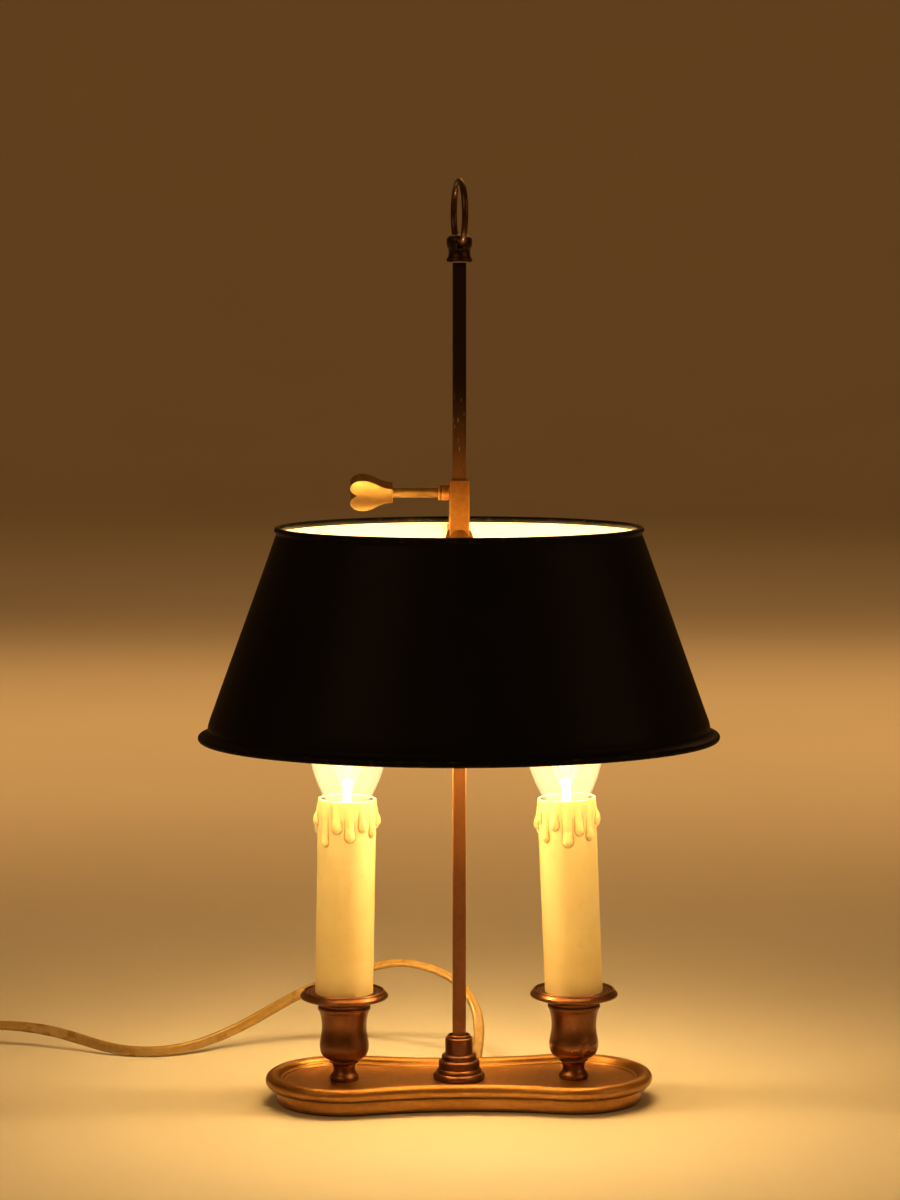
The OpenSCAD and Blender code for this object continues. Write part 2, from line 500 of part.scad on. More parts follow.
// Saddle that grips the cord under the tray floor
module cord_clamp() color([0.85, 0.83, 0.78]) difference() {
    translate([boot_x - 8, 16.3, 2.1]) cube([16, 4.6, 5.48]);
    translate([boot_x - 2.7, 10, cord_z - 1.4]) cube([5.4, 20, 2.8]);
    for (s = [-1, 1]) translate([boot_x + s * 5.5, 18.6, 0]) {
        cylinder(d = 2.2, h = 10, $fn = 24);
        cylinder(d = 3.8, h = 3.2, $fn = 24);
    }
}

module clamp_screws() color(steel) for (s = [-1, 1]) translate([boot_x + s * 5.5, 18.6, 0]) difference() {
    union() {
        translate([0, 0, 2.2]) cylinder(d = 3.6, h = 0.98, $fn = 32);
        translate([0, 0, 2.2]) cylinder(d = 2, h = 6.9, $fn = 32);
    }
    translate([-3, -0.25, 1.7]) cube([6, 0.5, 0.9]);
}

module splice_sleeves() color([0.8, 0.78, 0.7]) for (y = [9.3, 13.7]) translate([3.5, y, 4.3])
    rotate([0, 90, 0]) cylinder(d = 4.2, h = 12, $fn = 32);

// Cord inside the lamp, from the splices through the clamp to the strain relief's tip
module cord_inner() color([0.82, 0.62, 0.28]) translate([boot_x, 15.85, cord_z]) rotate([-90, 0, 0])
    linear_extrude(30.15) slot2d(cord_w, cord_t);

function leant(s, y, z) = [s * (cx - (z - well_z) * sin(lean(s))), y, well_z + (z - well_z) * cos(lean(s))];
module lead(s) color([0.8, 0.7, 0.4]) {
    x0 = s < 0 ? 3.2 : 15.9;
    wire([[x0, 11.5, 3.2], [s * 30, 7.5, 3.1], [s * (cx - 3), 0.6, 3.1], [s * (cx - 0.8), 0, 3.4], [s * cx, 0, 4.6], [s * cx, 0, 62],
          leant(s, -2, 66), leant(s, -7.4, 74), leant(s, -9.2, 79), leant(s, -9.2, 93.75)], 0.95);
}

// ---------------------------------------------------------------- cord, switch, plug

module cord_lead() color([0.82, 0.62, 0.28]) cord_tube(route, [0, 1, 0], [0, -1, 0]);
module cord_mid() color([0.82, 0.62, 0.28]) cord_tube(route_mid, [0, -1, 0], [0, -1, 0]);
module cord_end() color([0.82, 0.62, 0.28]) cord_tube(route_end, [0, 1, 0], [0, 1, 0]);
// Outer shape of the wound coil
module cord_coil() color([0.82, 0.62, 0.28]) translate([coil[0], coil[1], 0])
    rotate_extrude($fn = 96) translate([coil_r[0] - cord_t / 2, 0]) square([coil_r[1] - coil_r[0] + cord_t, coil_h]);

module switch_shape(d) hull() for (s = [-1, 1]) translate([0, s * (sw_l / 2 - 8)]) for (t = [-1, 1])
    translate([t * (sw_w / 2 - 8), 0]) circle(r = 8 - d, $fn = 32);

module switch_shell(z0, z1, inner0, inner1) difference() {
    translate([sw[0], sw[1], z0]) linear_extrude(z1 - z0) switch_shape(0);
    translate([sw[0], sw[1], inner0]) linear_extrude(inner1 - inner0) switch_shape(2);
    translate([sw[0] - 2.65, sw[1] - 40, 8.2 - 1.35]) cube([5.3, 80, 2.7]);
}

module switch_bottom() color([0.9, 0.86, 0.74]) difference() {
    switch_shell(0, 8.2, 1.8, 9);
    for (s = [-1, 1]) translate([sw[0] + s * 7.5, sw[1] + s * 20, 0]) {
        translate([0, 0, -1]) cylinder(d = 2.8, h = 6, $fn = 32);
        translate([0, 0, -1]) cylinder(d = 5, h = 1.9, $fn = 32);
    }
}
rock_z = 13.6;
rock = [8.4, 17];
module switch_top() color([0.9, 0.86, 0.74]) union() {
    difference() {
        switch_shell(8.2, sw_h, 7, sw_h - 1.8);
        translate([sw[0] - rock[0] / 2 - 0.35, sw[1] - rock[1] / 2 - 0.35, 10]) cube([rock[0] + 0.7, rock[1] + 0.7, 10]);
    }
    // posts for the two screws
    for (s = [-1, 1]) translate([sw[0] + s * 7.5, sw[1] + s * 20, 1.9]) difference() {
        cylinder(d = 4.6, h = 13.2, $fn = 32);
        translate([0, 0, -1]) cylinder(d = 2.7, h = 9.6, $fn = 32);
    }
    // ears that carry the rocker's pivots
    for (s = [-1, 1]) difference() {
        translate([sw[0] + s * 5.95 - 1.1, sw[1] - 3, 10.6]) cube([2.2, 6, 5]);
        translate([sw[0] - 8, sw[1], rock_z]) rotate([0, 90, 0]) cylinder(d = 2.1, h = 16, $fn = 32);
    }
}

// Rocker with its two pivots, at rest pressed down at the lamp's end: on
module switch_rocker() color([0.9, 0.86, 0.74]) translate([sw[0], sw[1], rock_z]) rotate([-9, 0, 0]) union() {
    translate([-rock[0] / 2, 0, 0]) rotate([90, 0, 90]) linear_extrude(rock[0])
        polygon([[-7.6, 1.4], [-8.1, 2.4], [-8.2, 4], [-5, 3.6], [0, 3.3], [5, 3.6], [8.2, 4], [8.1, 2.4], [7.6, 1.4], [3, -2.4], [-3, -2.4]]);
    translate([-6.6, 0, 0]) rotate([0, 90, 0]) cylinder(d = 2, h = 13.2, $fn = 32);
}

module switch_contacts() color(brass) for (s = [-1, 1]) translate([sw[0], sw[1] + s * 14, 0]) {
    translate([-3, -3.5, 1.85]) cube([6, 7, 4.4]);
    translate([-1.5, s > 0 ? -9 : 3, 1.85]) cube([3, 6, 2]);
}

module switch_screws() color(steel) for (s = [-1, 1]) translate([sw[0] + s * 7.5, sw[1] + s * 20, 0]) difference() {
    union() {
        translate([0, 0, 0.15]) cylinder(d = 4.8, h = 0.72, $fn = 32);
        translate([0, 0, 0.15]) cylinder(d = 2.6, h = 9.8, $fn = 32);
    }
    translate([-3, -0.3, -0.5]) cube([6, 0.6, 1]);
}

// Flat two-pin plug, moulded on the cord
module plug_body() color([0.82, 0.66, 0.36]) translate([plug_x, plug_y, 6.9]) difference() {
    union() {
        hull() {
            translate([0, 14, 0]) rotate([-90, 0, 0]) linear_extrude(0.5) slot2d(26, 13.7);
            translate([0, 36, 0]) rotate([-90, 0, 0]) linear_extrude(0.5) slot2d(35, 13.7);
        }
        hull() {
            translate([0, 0, 0]) rotate([-90, 0, 0]) linear_extrude(0.5) slot2d(8, 5.2);
            translate([0, 14, 0]) rotate([-90, 0, 0]) linear_extrude(0.5) slot2d(16, 12);
        }
    }
    for (s = [-1, 1]) translate([s * 9.5, 24, 0]) rotate([-90, 0, 0]) cylinder(r = 1.85, h = 20, $fn = 32);
}
module plug_pins() color([0.78, 0.75, 0.68]) for (s = [-1, 1]) translate([plug_x + s * 9.5, plug_y, 6.9]) {
    translate([0, 25, 0]) rotate([-90, 0, 0]) cylinder(r = 1.8, h = 12, $fn = 48);
    translate([0, 36.6, 0]) rotate([-90, 0, 0]) cylinder(r = 2, h = 16.9, $fn = 48);
    translate([0, 53.5, 0]) sphere(r = 2, $fn = 48);
}

// ---------------------------------------------------------------- nodes

module at(s) translate([s * cx, 0, 0]) children();

base_tray();
bottom_cover();
cover_screws();
felt_pad();
rod();
rod_collar();
rod_nut();
rod_washer();
at(-1) cup();  // cup_left
at(1) cup();  // cup_right
at(-1) bobeche();  // bobeche_left
at(1) bobeche();  // bobeche_right
at(-1) nipple();  // nipple_left
at(1) nipple();  // nipple_right
nipple_nuts();
nipple_washers();
at(-1) holder_bracket(-1);  // holder_bracket_left
at(1) holder_bracket(1);  // holder_bracket_right
at(-1) leaning(-1) lampholder();  // lampholder_left
at(1) leaning(1) lampholder();  // lampholder_right
at(-1) leaning(-1) socket_shell();  // socket_shell_left
at(1) leaning(1) socket_shell();  // socket_shell_right
at(-1) leaning(-1) socket_contact();  // socket_contact_left
at(1) leaning(1) socket_contact();  // socket_contact_right
at(-1) candle_cover(-1, drips_left);  // candle_cover_left
at(1) candle_cover(1, drips_right);  // candle_cover_right
at(-1) leaning(-1) bulb_glass();  // bulb_glass_left
at(1) leaning(1) bulb_glass();  // bulb_glass_right
at(-1) leaning(-1) bulb_cap();  // bulb_cap_left
at(1) leaning(1) bulb_cap();  // bulb_cap_right
at(-1) leaning(-1) filament();  // filament_left
at(1) leaning(1) filament();  // filament_right
finial_cap();
finial_ring();
shade_shell();
shade_spider();
shade_sleeve();
sleeve_nut();
screw_boss();
thumb_screw();
strain_relief();
cord_clamp();
clamp_screws();
splice_sleeves();
cord_inner();
lead(-1);  // lead_left
lead(1);  // lead_right
cord_lead();
cord_mid();
cord_coil();
cord_end();
switch_bottom();
switch_top();
switch_rocker();
switch_contacts();
switch_screws();
plug_body();
plug_pins();
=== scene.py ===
import json
import math

import bmesh
import bpy
import numpy as np
from mathutils import Matrix, Vector


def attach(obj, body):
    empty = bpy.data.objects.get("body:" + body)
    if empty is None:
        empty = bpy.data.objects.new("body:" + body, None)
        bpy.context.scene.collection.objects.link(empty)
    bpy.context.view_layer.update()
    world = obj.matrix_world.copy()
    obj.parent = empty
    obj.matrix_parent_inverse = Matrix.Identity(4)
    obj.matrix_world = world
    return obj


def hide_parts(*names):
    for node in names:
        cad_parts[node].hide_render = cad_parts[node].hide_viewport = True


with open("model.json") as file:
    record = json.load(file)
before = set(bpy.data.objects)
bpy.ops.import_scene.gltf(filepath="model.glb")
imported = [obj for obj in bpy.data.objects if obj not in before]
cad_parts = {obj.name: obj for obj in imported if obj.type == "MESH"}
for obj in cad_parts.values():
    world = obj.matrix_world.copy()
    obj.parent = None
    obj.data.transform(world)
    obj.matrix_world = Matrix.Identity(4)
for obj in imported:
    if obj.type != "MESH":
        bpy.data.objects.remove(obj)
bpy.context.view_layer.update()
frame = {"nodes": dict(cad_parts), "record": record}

scene = bpy.context.scene
nodes = frame["nodes"]
MM = 0.001
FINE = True


def cosd(a):
    return math.cos(math.radians(a))


def sind(a):
    return math.sin(math.radians(a))


# ------------------------------------------------------------------ camera

cam_data = bpy.data.cameras.new("camera")
cam_data.sensor_width = 36.0
cam_data.lens = 102.9
cam_data.clip_start, cam_data.clip_end = 0.05, 60.0
cam = bpy.data.objects.new("camera", cam_data)
scene.collection.objects.link(cam)
cam.location = (-0.0586, -1.5569, 0.390)
cam.rotation_euler = (math.radians(90 - 5.767), 0.0, math.radians(-2.0))
scene.camera = cam
scene.view_settings.view_transform = "Standard"


# ------------------------------------------------------------------ mesh helpers

def link(name, mesh):
    o = bpy.data.objects.new(name, mesh)
    scene.collection.objects.link(o)
    return o


def mark(mesh, angle):
    """Smooth shading, split where two faces meet at more than angle degrees; normals point outwards."""
    bm = bmesh.new()
    bm.from_mesh(mesh)
    bmesh.ops.remove_doubles(bm, verts=bm.verts, dist=1e-7)
    bmesh.ops.recalc_face_normals(bm, faces=bm.faces)
    lim = math.radians(angle)
    for f in bm.faces:
        f.smooth = True
    for e in bm.edges:
        e.smooth = len(e.link_faces) == 2 and e.calc_face_angle(0.0) < lim
    bm.to_mesh(mesh)
    bm.free()


def build(name, verts, faces, angle=38, mats=None, split=True):
    """A mesh object from points in millimetres. mats gives a material index for each face."""
    mesh = bpy.data.meshes.new(name)
    mesh.from_pydata([tuple(float(c) * MM for c in v) for v in verts], [], faces)
    if mats is not None:
        mesh.polygons.foreach_set("material_index", mats)
    mark(mesh, angle)
    mesh.validate()
    return link(name, mesh)


def grid_faces(rows, cols, close_rows=False, close_cols=True):
    """Quads over a grid of rows x cols points, row by row."""
    f = []
    for r in range(rows if close_rows else rows - 1):
        r2 = (r + 1) % rows
        for c in range(cols if close_cols else cols - 1):
            c2 = (c + 1) % cols
            f.append((r * cols + c, r * cols + c2, r2 * cols + c2, r2 * cols + c))
    return f


def catmull(p, sub, closed=False):
    """Centripetal Catmull-Rom through points, sub steps per span."""
    p = [np.array(q, float) for q in p]
    n = len(p)
    out = []
    for i in range(n if closed else n - 1):
        p1, p2 = p[i], p[(i + 1) % n]
        p0 = p[i - 1] if (closed or i > 0) else 2 * p1 - p2
        p3 = p[(i + 2) % n] if (closed or i + 2 < n) else 2 * p2 - p1
        t01 = max(np.linalg.norm(p1[:3] - p0[:3]), 1e-6) ** 0.5
        t12 = max(np.linalg.norm(p2[:3] - p1[:3]), 1e-6) ** 0.5
        t23 = max(np.linalg.norm(p3[:3] - p2[:3]), 1e-6) ** 0.5
        m1 = p2 - p1 + t12 * ((p1 - p0) / t01 - (p2 - p0) / (t01 + t12))
        m2 = p2 - p1 + t12 * ((p3 - p2) / t23 - (p3 - p1) / (t12 + t23))
        a, b = 2 * (p1 - p2) + m1 + m2, -3 * (p1 - p2) - 2 * m1 - m2
        for k in range(sub):
            t = k / sub
            out.append(a * t ** 3 + b * t ** 2 + m1 * t + p1)
    if not closed:
        out.append(p[-1])
    return out


def turn(a, b, c):
    u, v = np.array(b) - np.array(a), np.array(c) - np.array(b)
    d = np.linalg.norm(u) * np.linalg.norm(v)
    return 0.0 if d < 1e-12 else math.degrees(math.acos(max(-1, min(1, float(u @ v) / d))))


def refine(p, fillet=0.18, sub=4, corner=33, closed=False):
    """A section's polyline with its curved runs made smooth and its corners given small fillets."""
    p = [np.array(q, float) for q in p]
    n = len(p)
    if closed:
        corners = [i for i in range(n) if turn(p[i - 1], p[i], p[(i + 1) % n]) > corner]
        if not corners:
            return catmull(p, sub, True)
        s = corners[0]
        p = p[s:] + p[:s] + [p[s]]
        n += 1
    corners = [0] + [i for i in range(1, n - 1) if turn(p[i - 1], p[i], p[i + 1]) > corner] + [n - 1]
    runs = []
    for a, b in zip(corners[:-1], corners[1:]):
        run = p[a:b + 1]
        runs.append(catmull(run, sub) if len(run) > 2 else run)
    out = []
    for k, run in enumerate(runs):
        for i, q in enumerate(run[:-1]):
            first = i == 0
            if first and (k > 0 or closed):
                prev = runs[k - 1]
                u, v = prev[-2] - q, run[1] - q
                lu, lv = np.linalg.norm(u), np.linalg.norm(v)
                r = min(fillet, 0.4 * lu, 0.4 * lv)
                a, b = q + u / max(lu, 1e-9) * r, q + v / max(lv, 1e-9) * r
                for t in (0.0, 0.33, 0.67, 1.0):
                    out.append((1 - t) ** 2 * a + 2 * t * (1 - t) * q + t * t * b)
            else:
                out.append(q)
    if not closed:
        out.append(runs[-1][-1])
    return out


def lathe(name, profile, segs=144, at=(0, 0), angle=42, fillet=0.18, sub=4, closed=False, mat_of=None, squash_y=1.0, corner=33):
    """Turned solid about Z from a profile of (radius, height) points."""
    prof = refine(profile, fillet, sub, closed=closed, corner=corner)
    verts, faces, start, rings = [], [], [], []
    for r, z in prof:
        if r < 1e-4:
            rings.append([len(verts)])
            verts.append((at[0], at[1], z))
        else:
            rings.append(list(range(len(verts), len(verts) + segs)))
            for k in range(segs):
                a = 2 * math.pi * k / segs
                verts.append((at[0] + r * math.cos(a), at[1] + squash_y * r * math.sin(a), z))
    pairs = list(zip(range(len(rings)), range(1, len(rings))))
    if closed:
        pairs.append((len(rings) - 1, 0))
    mats = []
    for i, j in pairs:
        a, b = rings[i], rings[j]
        m = mat_of((prof[i] + prof[j]) / 2) if mat_of else 0
        if len(a) == 1 and len(b) == 1:
            continue
        for k in range(segs):
            k2 = (k + 1) % segs
            if len(a) == 1:
                faces.append((a[0], b[k2], b[k]))
            elif len(b) == 1:
                faces.append((a[k], a[k2], b[0]))
            else:
                faces.append((a[k], a[k2], b[k2], b[k]))
            mats.append(m)
    return build(name, verts, faces, angle, mats)


def sweep(name, outline, section, cap0=True, cap1=True, angle=42, closed=False, extra=None, mat_of=None, star=(0.8, 0.6, 0.4, 0.2)):
    """Solid from outline(d), a list of (x, y) points set in by d, over a section of (d, z) points. The caps are
    rings drawn in towards the origin of the outline."""
    verts, faces, mats = [], [], []
    ring = []
    for d, z in section:
        pts = outline(d)
        ring.append(len(verts))
        verts += [(x, y, z) for x, y in pts]
    n = len(outline(section[0][0]))
    pairs = list(zip(range(len(ring)), range(1, len(ring))))
    if closed:
        pairs.append((len(ring) - 1, 0))
    for i, j in pairs:
        m = mat_of((np.array(section[i]) + np.array(section[j])) / 2) if mat_of else 0
        for k in range(n):
            k2 = (k + 1) % n
            faces.append((ring[i] + k, ring[i] + k2, ring[j] + k2, ring[j] + k))
            mats.append(m)
    if not closed:
        for want, idx in ((cap0, 0), (cap1, len(section) - 1)):
            if not want:
                continue
            base = [verts[ring[idx] + k] for k in range(n)]
            cx = 0.5 * (min(q[0] for q in base) + max(q[0] for q in base))
            cy = 0.5 * (min(q[1] for q in base) + max(q[1] for q in base))
            m = mat_of(np.array(section[idx])) if mat_of else 0
            prev = ring[idx]
            for s in star:
                cur = len(verts)
                verts += [(cx + (x - cx) * s, cy + (y - cy) * s, z) for x, y, z in base]
                for k in range(n):
                    k2 = (k + 1) % n
                    faces.append((prev + k, prev + k2, cur + k2, cur + k))
                    mats.append(m)
                prev = cur
            c = len(verts)
            verts.append((cx, cy, base[0][2]))
            for k in range(n):
                faces.append((prev + k, prev + (k + 1) % n, c))
                mats.append(m)
    return build(name, verts, faces, angle, mats)


def rounded_rect(hx, hy, r, d=0.0, arc=6, cx=0.0, cy=0.0, pad=0.3):
    """Outline of a rectangle with round corners, set in by d, with a point just beside each corner arc."""
    hx, hy, r = hx - d, hy - d, max(r - d, 0.08)
    pts = []
    for qx, qy, a0 in ((1, 1, 0), (-1, 1, 90), (-1, -1, 180), (1, -1, 270)):
        ox, oy = qx * (hx - r), qy * (hy - r)
        ring = [(ox + r * cosd(a0 + 90 * i / arc), oy + r * sind(a0 + 90 * i / arc)) for i in range(arc + 1)]
        before = (ring[0][0] + pad * sind(a0), ring[0][1] - pad * cosd(a0))
        after = (ring[-1][0] - pad * sind(a0 + 90), ring[-1][1] + pad * cosd(a0 + 90))
        pts += [before] + ring + [after]
    return [(cx + x, cy + y) for x, y in pts]


def tube(name, path, radius, segs=16, caps=True, angle=60):
    """Round wire along points in millimetres, its section carried along without twist. radius may be a list."""
    p = [np.array(q, float) for q in path]
    n = len(p)
    rad = radius if hasattr(radius, "__len__") else [radius] * n
    tang = []
    for i in range(n):
        t = p[min(i + 1, n - 1)] - p[max(i - 1, 0)]
        tang.append(t / max(np.linalg.norm(t), 1e-9))
    a = np.cross(tang[0], [0.31, 0.94, 0.12])
    if np.linalg.norm(a) < 0.2:
        a = np.cross(tang[0], [0.94, 0.12, 0.31])
    verts = []
    for i in range(n):
        a = a - (a @ tang[i]) * tang[i]
        a = a / np.linalg.norm(a)
        b = np.cross(tang[i], a)
        for k in range(segs):
            w = 2 * math.pi * k / segs
            verts.append(p[i] + rad[i] * (math.cos(w) * a + math.sin(w) * b))
    faces = grid_faces(n, segs)
    if caps:
        verts += [p[0], p[-1]]
        c0, c1 = len(verts) - 2, len(verts) - 1
        for k in range(segs):
            faces.append((c0, (k + 1) % segs, k))
            faces.append((c1, (n - 1) * segs + k, (n - 1) * segs + (k + 1) % segs))
    return build(name, verts, faces, angle)


def rbox(name, size, loc=(0, 0, 0), rot=None, bevel=0.3, seg=3, angle=50):
    """A bar with rounded edges, in millimetres."""
    bm = bmesh.new()
    bmesh.ops.create_cube(bm, size=1.0)
    for v in bm.verts:
        v.co = Vector((v.co.x * size[0], v.co.y * size[1], v.co.z * size[2]))
    bmesh.ops.bevel(bm, geom=list(bm.edges), offset=min(bevel, 0.45 * min(size)), segments=seg, profile=0.5, affect="EDGES")
    m = Matrix.Translation(Vector(loc)) @ (rot.to_4x4() if rot is not None else Matrix.Identity(4))
    for v in bm.verts:
        v.co = (m @ v.co) * MM
    mesh = bpy.data.meshes.new(name)
    bm.to_mesh(mesh)
    bm.free()
    mark(mesh, angle)
    return link(name, mesh)


def join(name, parts):
    """One object from several, keeping their shading and materials."""
    bm = bmesh.new()
    slots = []
    for o in parts:
        offset = []
        for s in o.data.materials:
            if s not in slots:
                slots.append(s)
            offset.append(slots.index(s))
        before = len(bm.faces)
        bm.from_mesh(o.data)
        bm.faces.ensure_lookup_table()
        if offset:
            for f in bm.faces[before:]:
                f.material_index = offset[min(f.material_index, len(offset) - 1)]
    mesh = bpy.data.meshes.new(name)
    bm.to_mesh(mesh)
    bm.free()
    for s in slots:
        mesh.materials.append(s)
    for o in parts:
        bpy.data.objects.remove(o)
    return link(name, mesh)


def moved(o, matrix):
    o.data.transform(matrix)
    return o


def boolean(o, cutter, how="DIFFERENCE"):
    m = o.modifiers.new("cut", "BOOLEAN")
    m.operation, m.object, m.solver = how, cutter, "EXACT"
    dg = bpy.context.evaluated_depsgraph_get()
    mesh = bpy.data.meshes.new_from_object(o.evaluated_get(dg))
    o.modifiers.clear()
    old = o.data
    o.data = mesh
    bpy.data.meshes.remove(old)
    bpy.data.objects.remove(cutter)
    return o


def wear_and_shade_masks(o, low=0.25, high=1.1, passes=2):
    """Stores how convex (the edge mask) and how hollow (the hollow mask) the surface is at each point, from its own
    curvature. The hollow mask stands for real patina and grime on the brass and for painted shade in the creases round
    the candles' drips.
    """
    me = o.data
    n = len(me.vertices)
    co = np.zeros(n * 3)
    me.vertices.foreach_get("co", co)
    co = co.reshape(-1, 3) / MM
    no = np.zeros(n * 3)
    me.vertices.foreach_get("normal", no)
    no = no.reshape(-1, 3)
    e = np.zeros(len(me.edges) * 2, int)
    me.edges.foreach_get("vertices", e)
    e = e.reshape(-1, 2)
    d = co[e[:, 0]] - co[e[:, 1]]
    l2 = np.maximum((d * d).sum(1), 1e-4)
    k0, k1 = 2 * (d * no[e[:, 0]]).sum(1) / l2, -2 * (d * no[e[:, 1]]).sum(1) / l2
    cnt = np.maximum(np.bincount(e.ravel(), minlength=n), 1)
    k = (np.bincount(e[:, 0], k0, n) + np.bincount(e[:, 1], k1, n)) / cnt
    k = np.clip(k, -3, 3)
    for _ in range(passes):
        s = np.bincount(e[:, 0], k[e[:, 1]], n) + np.bincount(e[:, 1], k[e[:, 0]], n)
        k = 0.5 * k + 0.5 * s / cnt
    for name, v in (("edge", np.clip((k - low) / (high - low), 0, 1)), ("hollow_dirt_and_shade", np.clip((-k - 0.12) / 0.8, 0, 1))):
        a = me.attributes.get(name) or me.attributes.new(name, "FLOAT", "POINT")
        a.data.foreach_set("value", v.astype(np.float32))
    return o


# ------------------------------------------------------------------ the cord's route

# Each row is x, y, z and the roll of the flat cord, in millimetres and degrees
ROUTE = [(9.5, 46, 4.4, 0), (9.8, 51, 5.4, 0), (10.8, 57, 8.8, 0), (11.8, 63.5, 13.6, 0),
         (12.1, 70, 18.8, 0), (11, 76, 25, 0), (7, 82, 32.4, 5), (0, 88, 38, 10),
         (-10, 93.5, 42, 15), (-24, 99, 43.8, 20), (-38, 101.5, 41.6, 30), (-55, 104, 35.6, 45),
         (-74, 106.5, 27.4, 60), (-88, 107.5, 19.6, 75), (-102, 105.5, 12.2, 85),
         (-116, 100, 7, 90), (-130, 93.5, 3.8, 90), (-144, 90, 2.7, 90), (-158, 91.5, 2.8, 90),
         (-170, 97, 3.8, 85), (-182, 104, 5.8, 75), (-195, 110.5, 8, 65), (-209, 115.5, 9.4, 50),
         (-223, 119, 9.7, 35), (-234, 119.8, 9.4, 25), (-244.5, 117.2, 9, 15),
         (-253.5, 111.2, 8.6, 5), (-259.8, 102.6, 8.3, 0), (-262.6, 94, 8.2, 0), (-263, 84, 8.2, 0)]
ROUTE_SWITCH = [(-263, 75, 8.2, 0), (-263, 65, 8.2, 0), (-263, 56, 8.2, 0), (-263, 47, 8.2, 0), (-263, 37, 8.2, 0)]
ROUTE_MID = [(-263, 28, 8.2, 0), (-263, 19, 7.6, 15), (-262.6, 11, 6, 35), (-262, 3, 4.3, 60),
             (-261.2, -6, 3.3, 80), (-260.7, -15, 3, 90)]
ROUTE_END = [(-321.5, -17, 7.8, 90), (-321.5, -10, 6.7, 80),
             (-321.5, -3, 5.4, 60), (-321.5, 4, 4.8, 40), (-321.5, 11, 5.2, 20),
             (-321.5, 18, 6.4, 0), (-321.5, 24, 6.9, 0), (-321.5, 29, 6.9, 0)]
COIL = (-291.0, -24.0)
CORD_W, CORD_T = 5.2, 2.6


def coil_points():
    """Seven and a half clockwise turns: four columns outwards-in on the table, then back out on top of them."""
    radii = [30.45, 27.8, 25.15, 22.5, 22.5, 25.15, 27.8, 30.45]
    heights = [3.0, 3.0, 3.0, 3.0, 8.2, 8.2, 8.2, 8.2]
    pts = []
    per = 24
    for i in range(int(7.5 * per) + 1):
        u = i / per
        k = min(int(u), 7)
        f = u - k
        # the change to the next column or layer comes in the last sixth of a turn
        s = max(0.0, (f - 5 / 6) * 6) if k < 7 else 0.0
        s = s * s * (3 - 2 * s)
        k2 = min(k + 1, 7)
        r = radii[k] * (1 - s) + radii[k2] * s
        z = heights[k] * (1 - s) + heights[k2] * s
        a = -360 * u
        # w would set the hand-wound turns a little out of round, but it is scaled by 0 below, so the turns are drawn
        # round
        w = 0.22 * math.sin(2.7 * u + 0.6) * (0.0 if i in (0, int(7.5 * per)) else 1.0)
        pts.append((COIL[0] + (r + 0.0 * w) * cosd(a), COIL[1] + r * sind(a), z, 90))
    return pts


cord_points = ROUTE + ROUTE_SWITCH + ROUTE_MID + coil_points() + ROUTE_END
cord_line = catmull(cord_points, 5)
# points about 1.6 mm apart
xyz = np.array([q[:4] for q in cord_line])
along = np.concatenate([[0], np.cumsum(np.linalg.norm(np.diff(xyz[:, :3], axis=0), axis=1))])
cord_length = along[-1]
count = int(cord_length / 1.7)
at = np.linspace(0, cord_length, count)
cord_rings = np.stack([np.interp(at, along, xyz[:, k]) for k in range(4)], axis=1)


def twin_section(n=36):
    """Cross-section of a flat two-core cord: two round cores side by side with a shallow groove on each flat face."""
    pts = []
    for k in range(n):
        a = 2 * math.pi * k / n
        c, s = math.cos(a), math.sin(a)
        # a superellipse with flat faces
        x = CORD_W / 2 * math.copysign(abs(c) ** 0.62, c)
        y = CORD_T / 2 * math.copysign(abs(s) ** 0.62, s)
        # each end rounded as a circle of the cord's thickness
        ex = max(0.0, abs(x) - (CORD_W - CORD_T) / 2)
        lim = math.sqrt(max(0.0, (CORD_T / 2) ** 2 - ex * ex))
        y = math.copysign(min(abs(y), lim) if abs(y) > 1e-6 else 0.0, y)
        # the groove between the cores
        g = math.exp(-(x / 0.55) ** 2)
        y *= 1 - 0.24 * g
        pts.append((x, y))
    return pts


def flat_cord(name, rings, section):
    p = rings[:, :3]
    n = len(p)
    m = len(section)
    verts, faces = [], []
    for i in range(n):
        t = p[min(i + 1, n - 1)] - p[max(i - 1, 0)]
        t = t / np.linalg.norm(t)
        side = np.cross(t, [0, 0, 1.0])
        side = side / np.linalg.norm(side)
        up = np.cross(side, t)
        roll = rings[i, 3]
        w = cosd(roll) * side + sind(roll) * up
        h = np.cross(w, t)
        for x, y in section:
            verts.append(p[i] + w * x + h * y)
    faces = grid_faces(n, m)
    faces.append(tuple(range(m - 1, -1, -1)))
    faces.append(tuple((n - 1) * m + k for k in range(m)))
    return build(name, verts, faces, 60)


cord = flat_cord("mains_cord", cord_rings, twin_section(36 if FINE else 24))
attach(cord, "base")
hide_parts("cord_lead", "cord_mid", "cord_coil", "cord_end")


# ------------------------------------------------------------------ materials

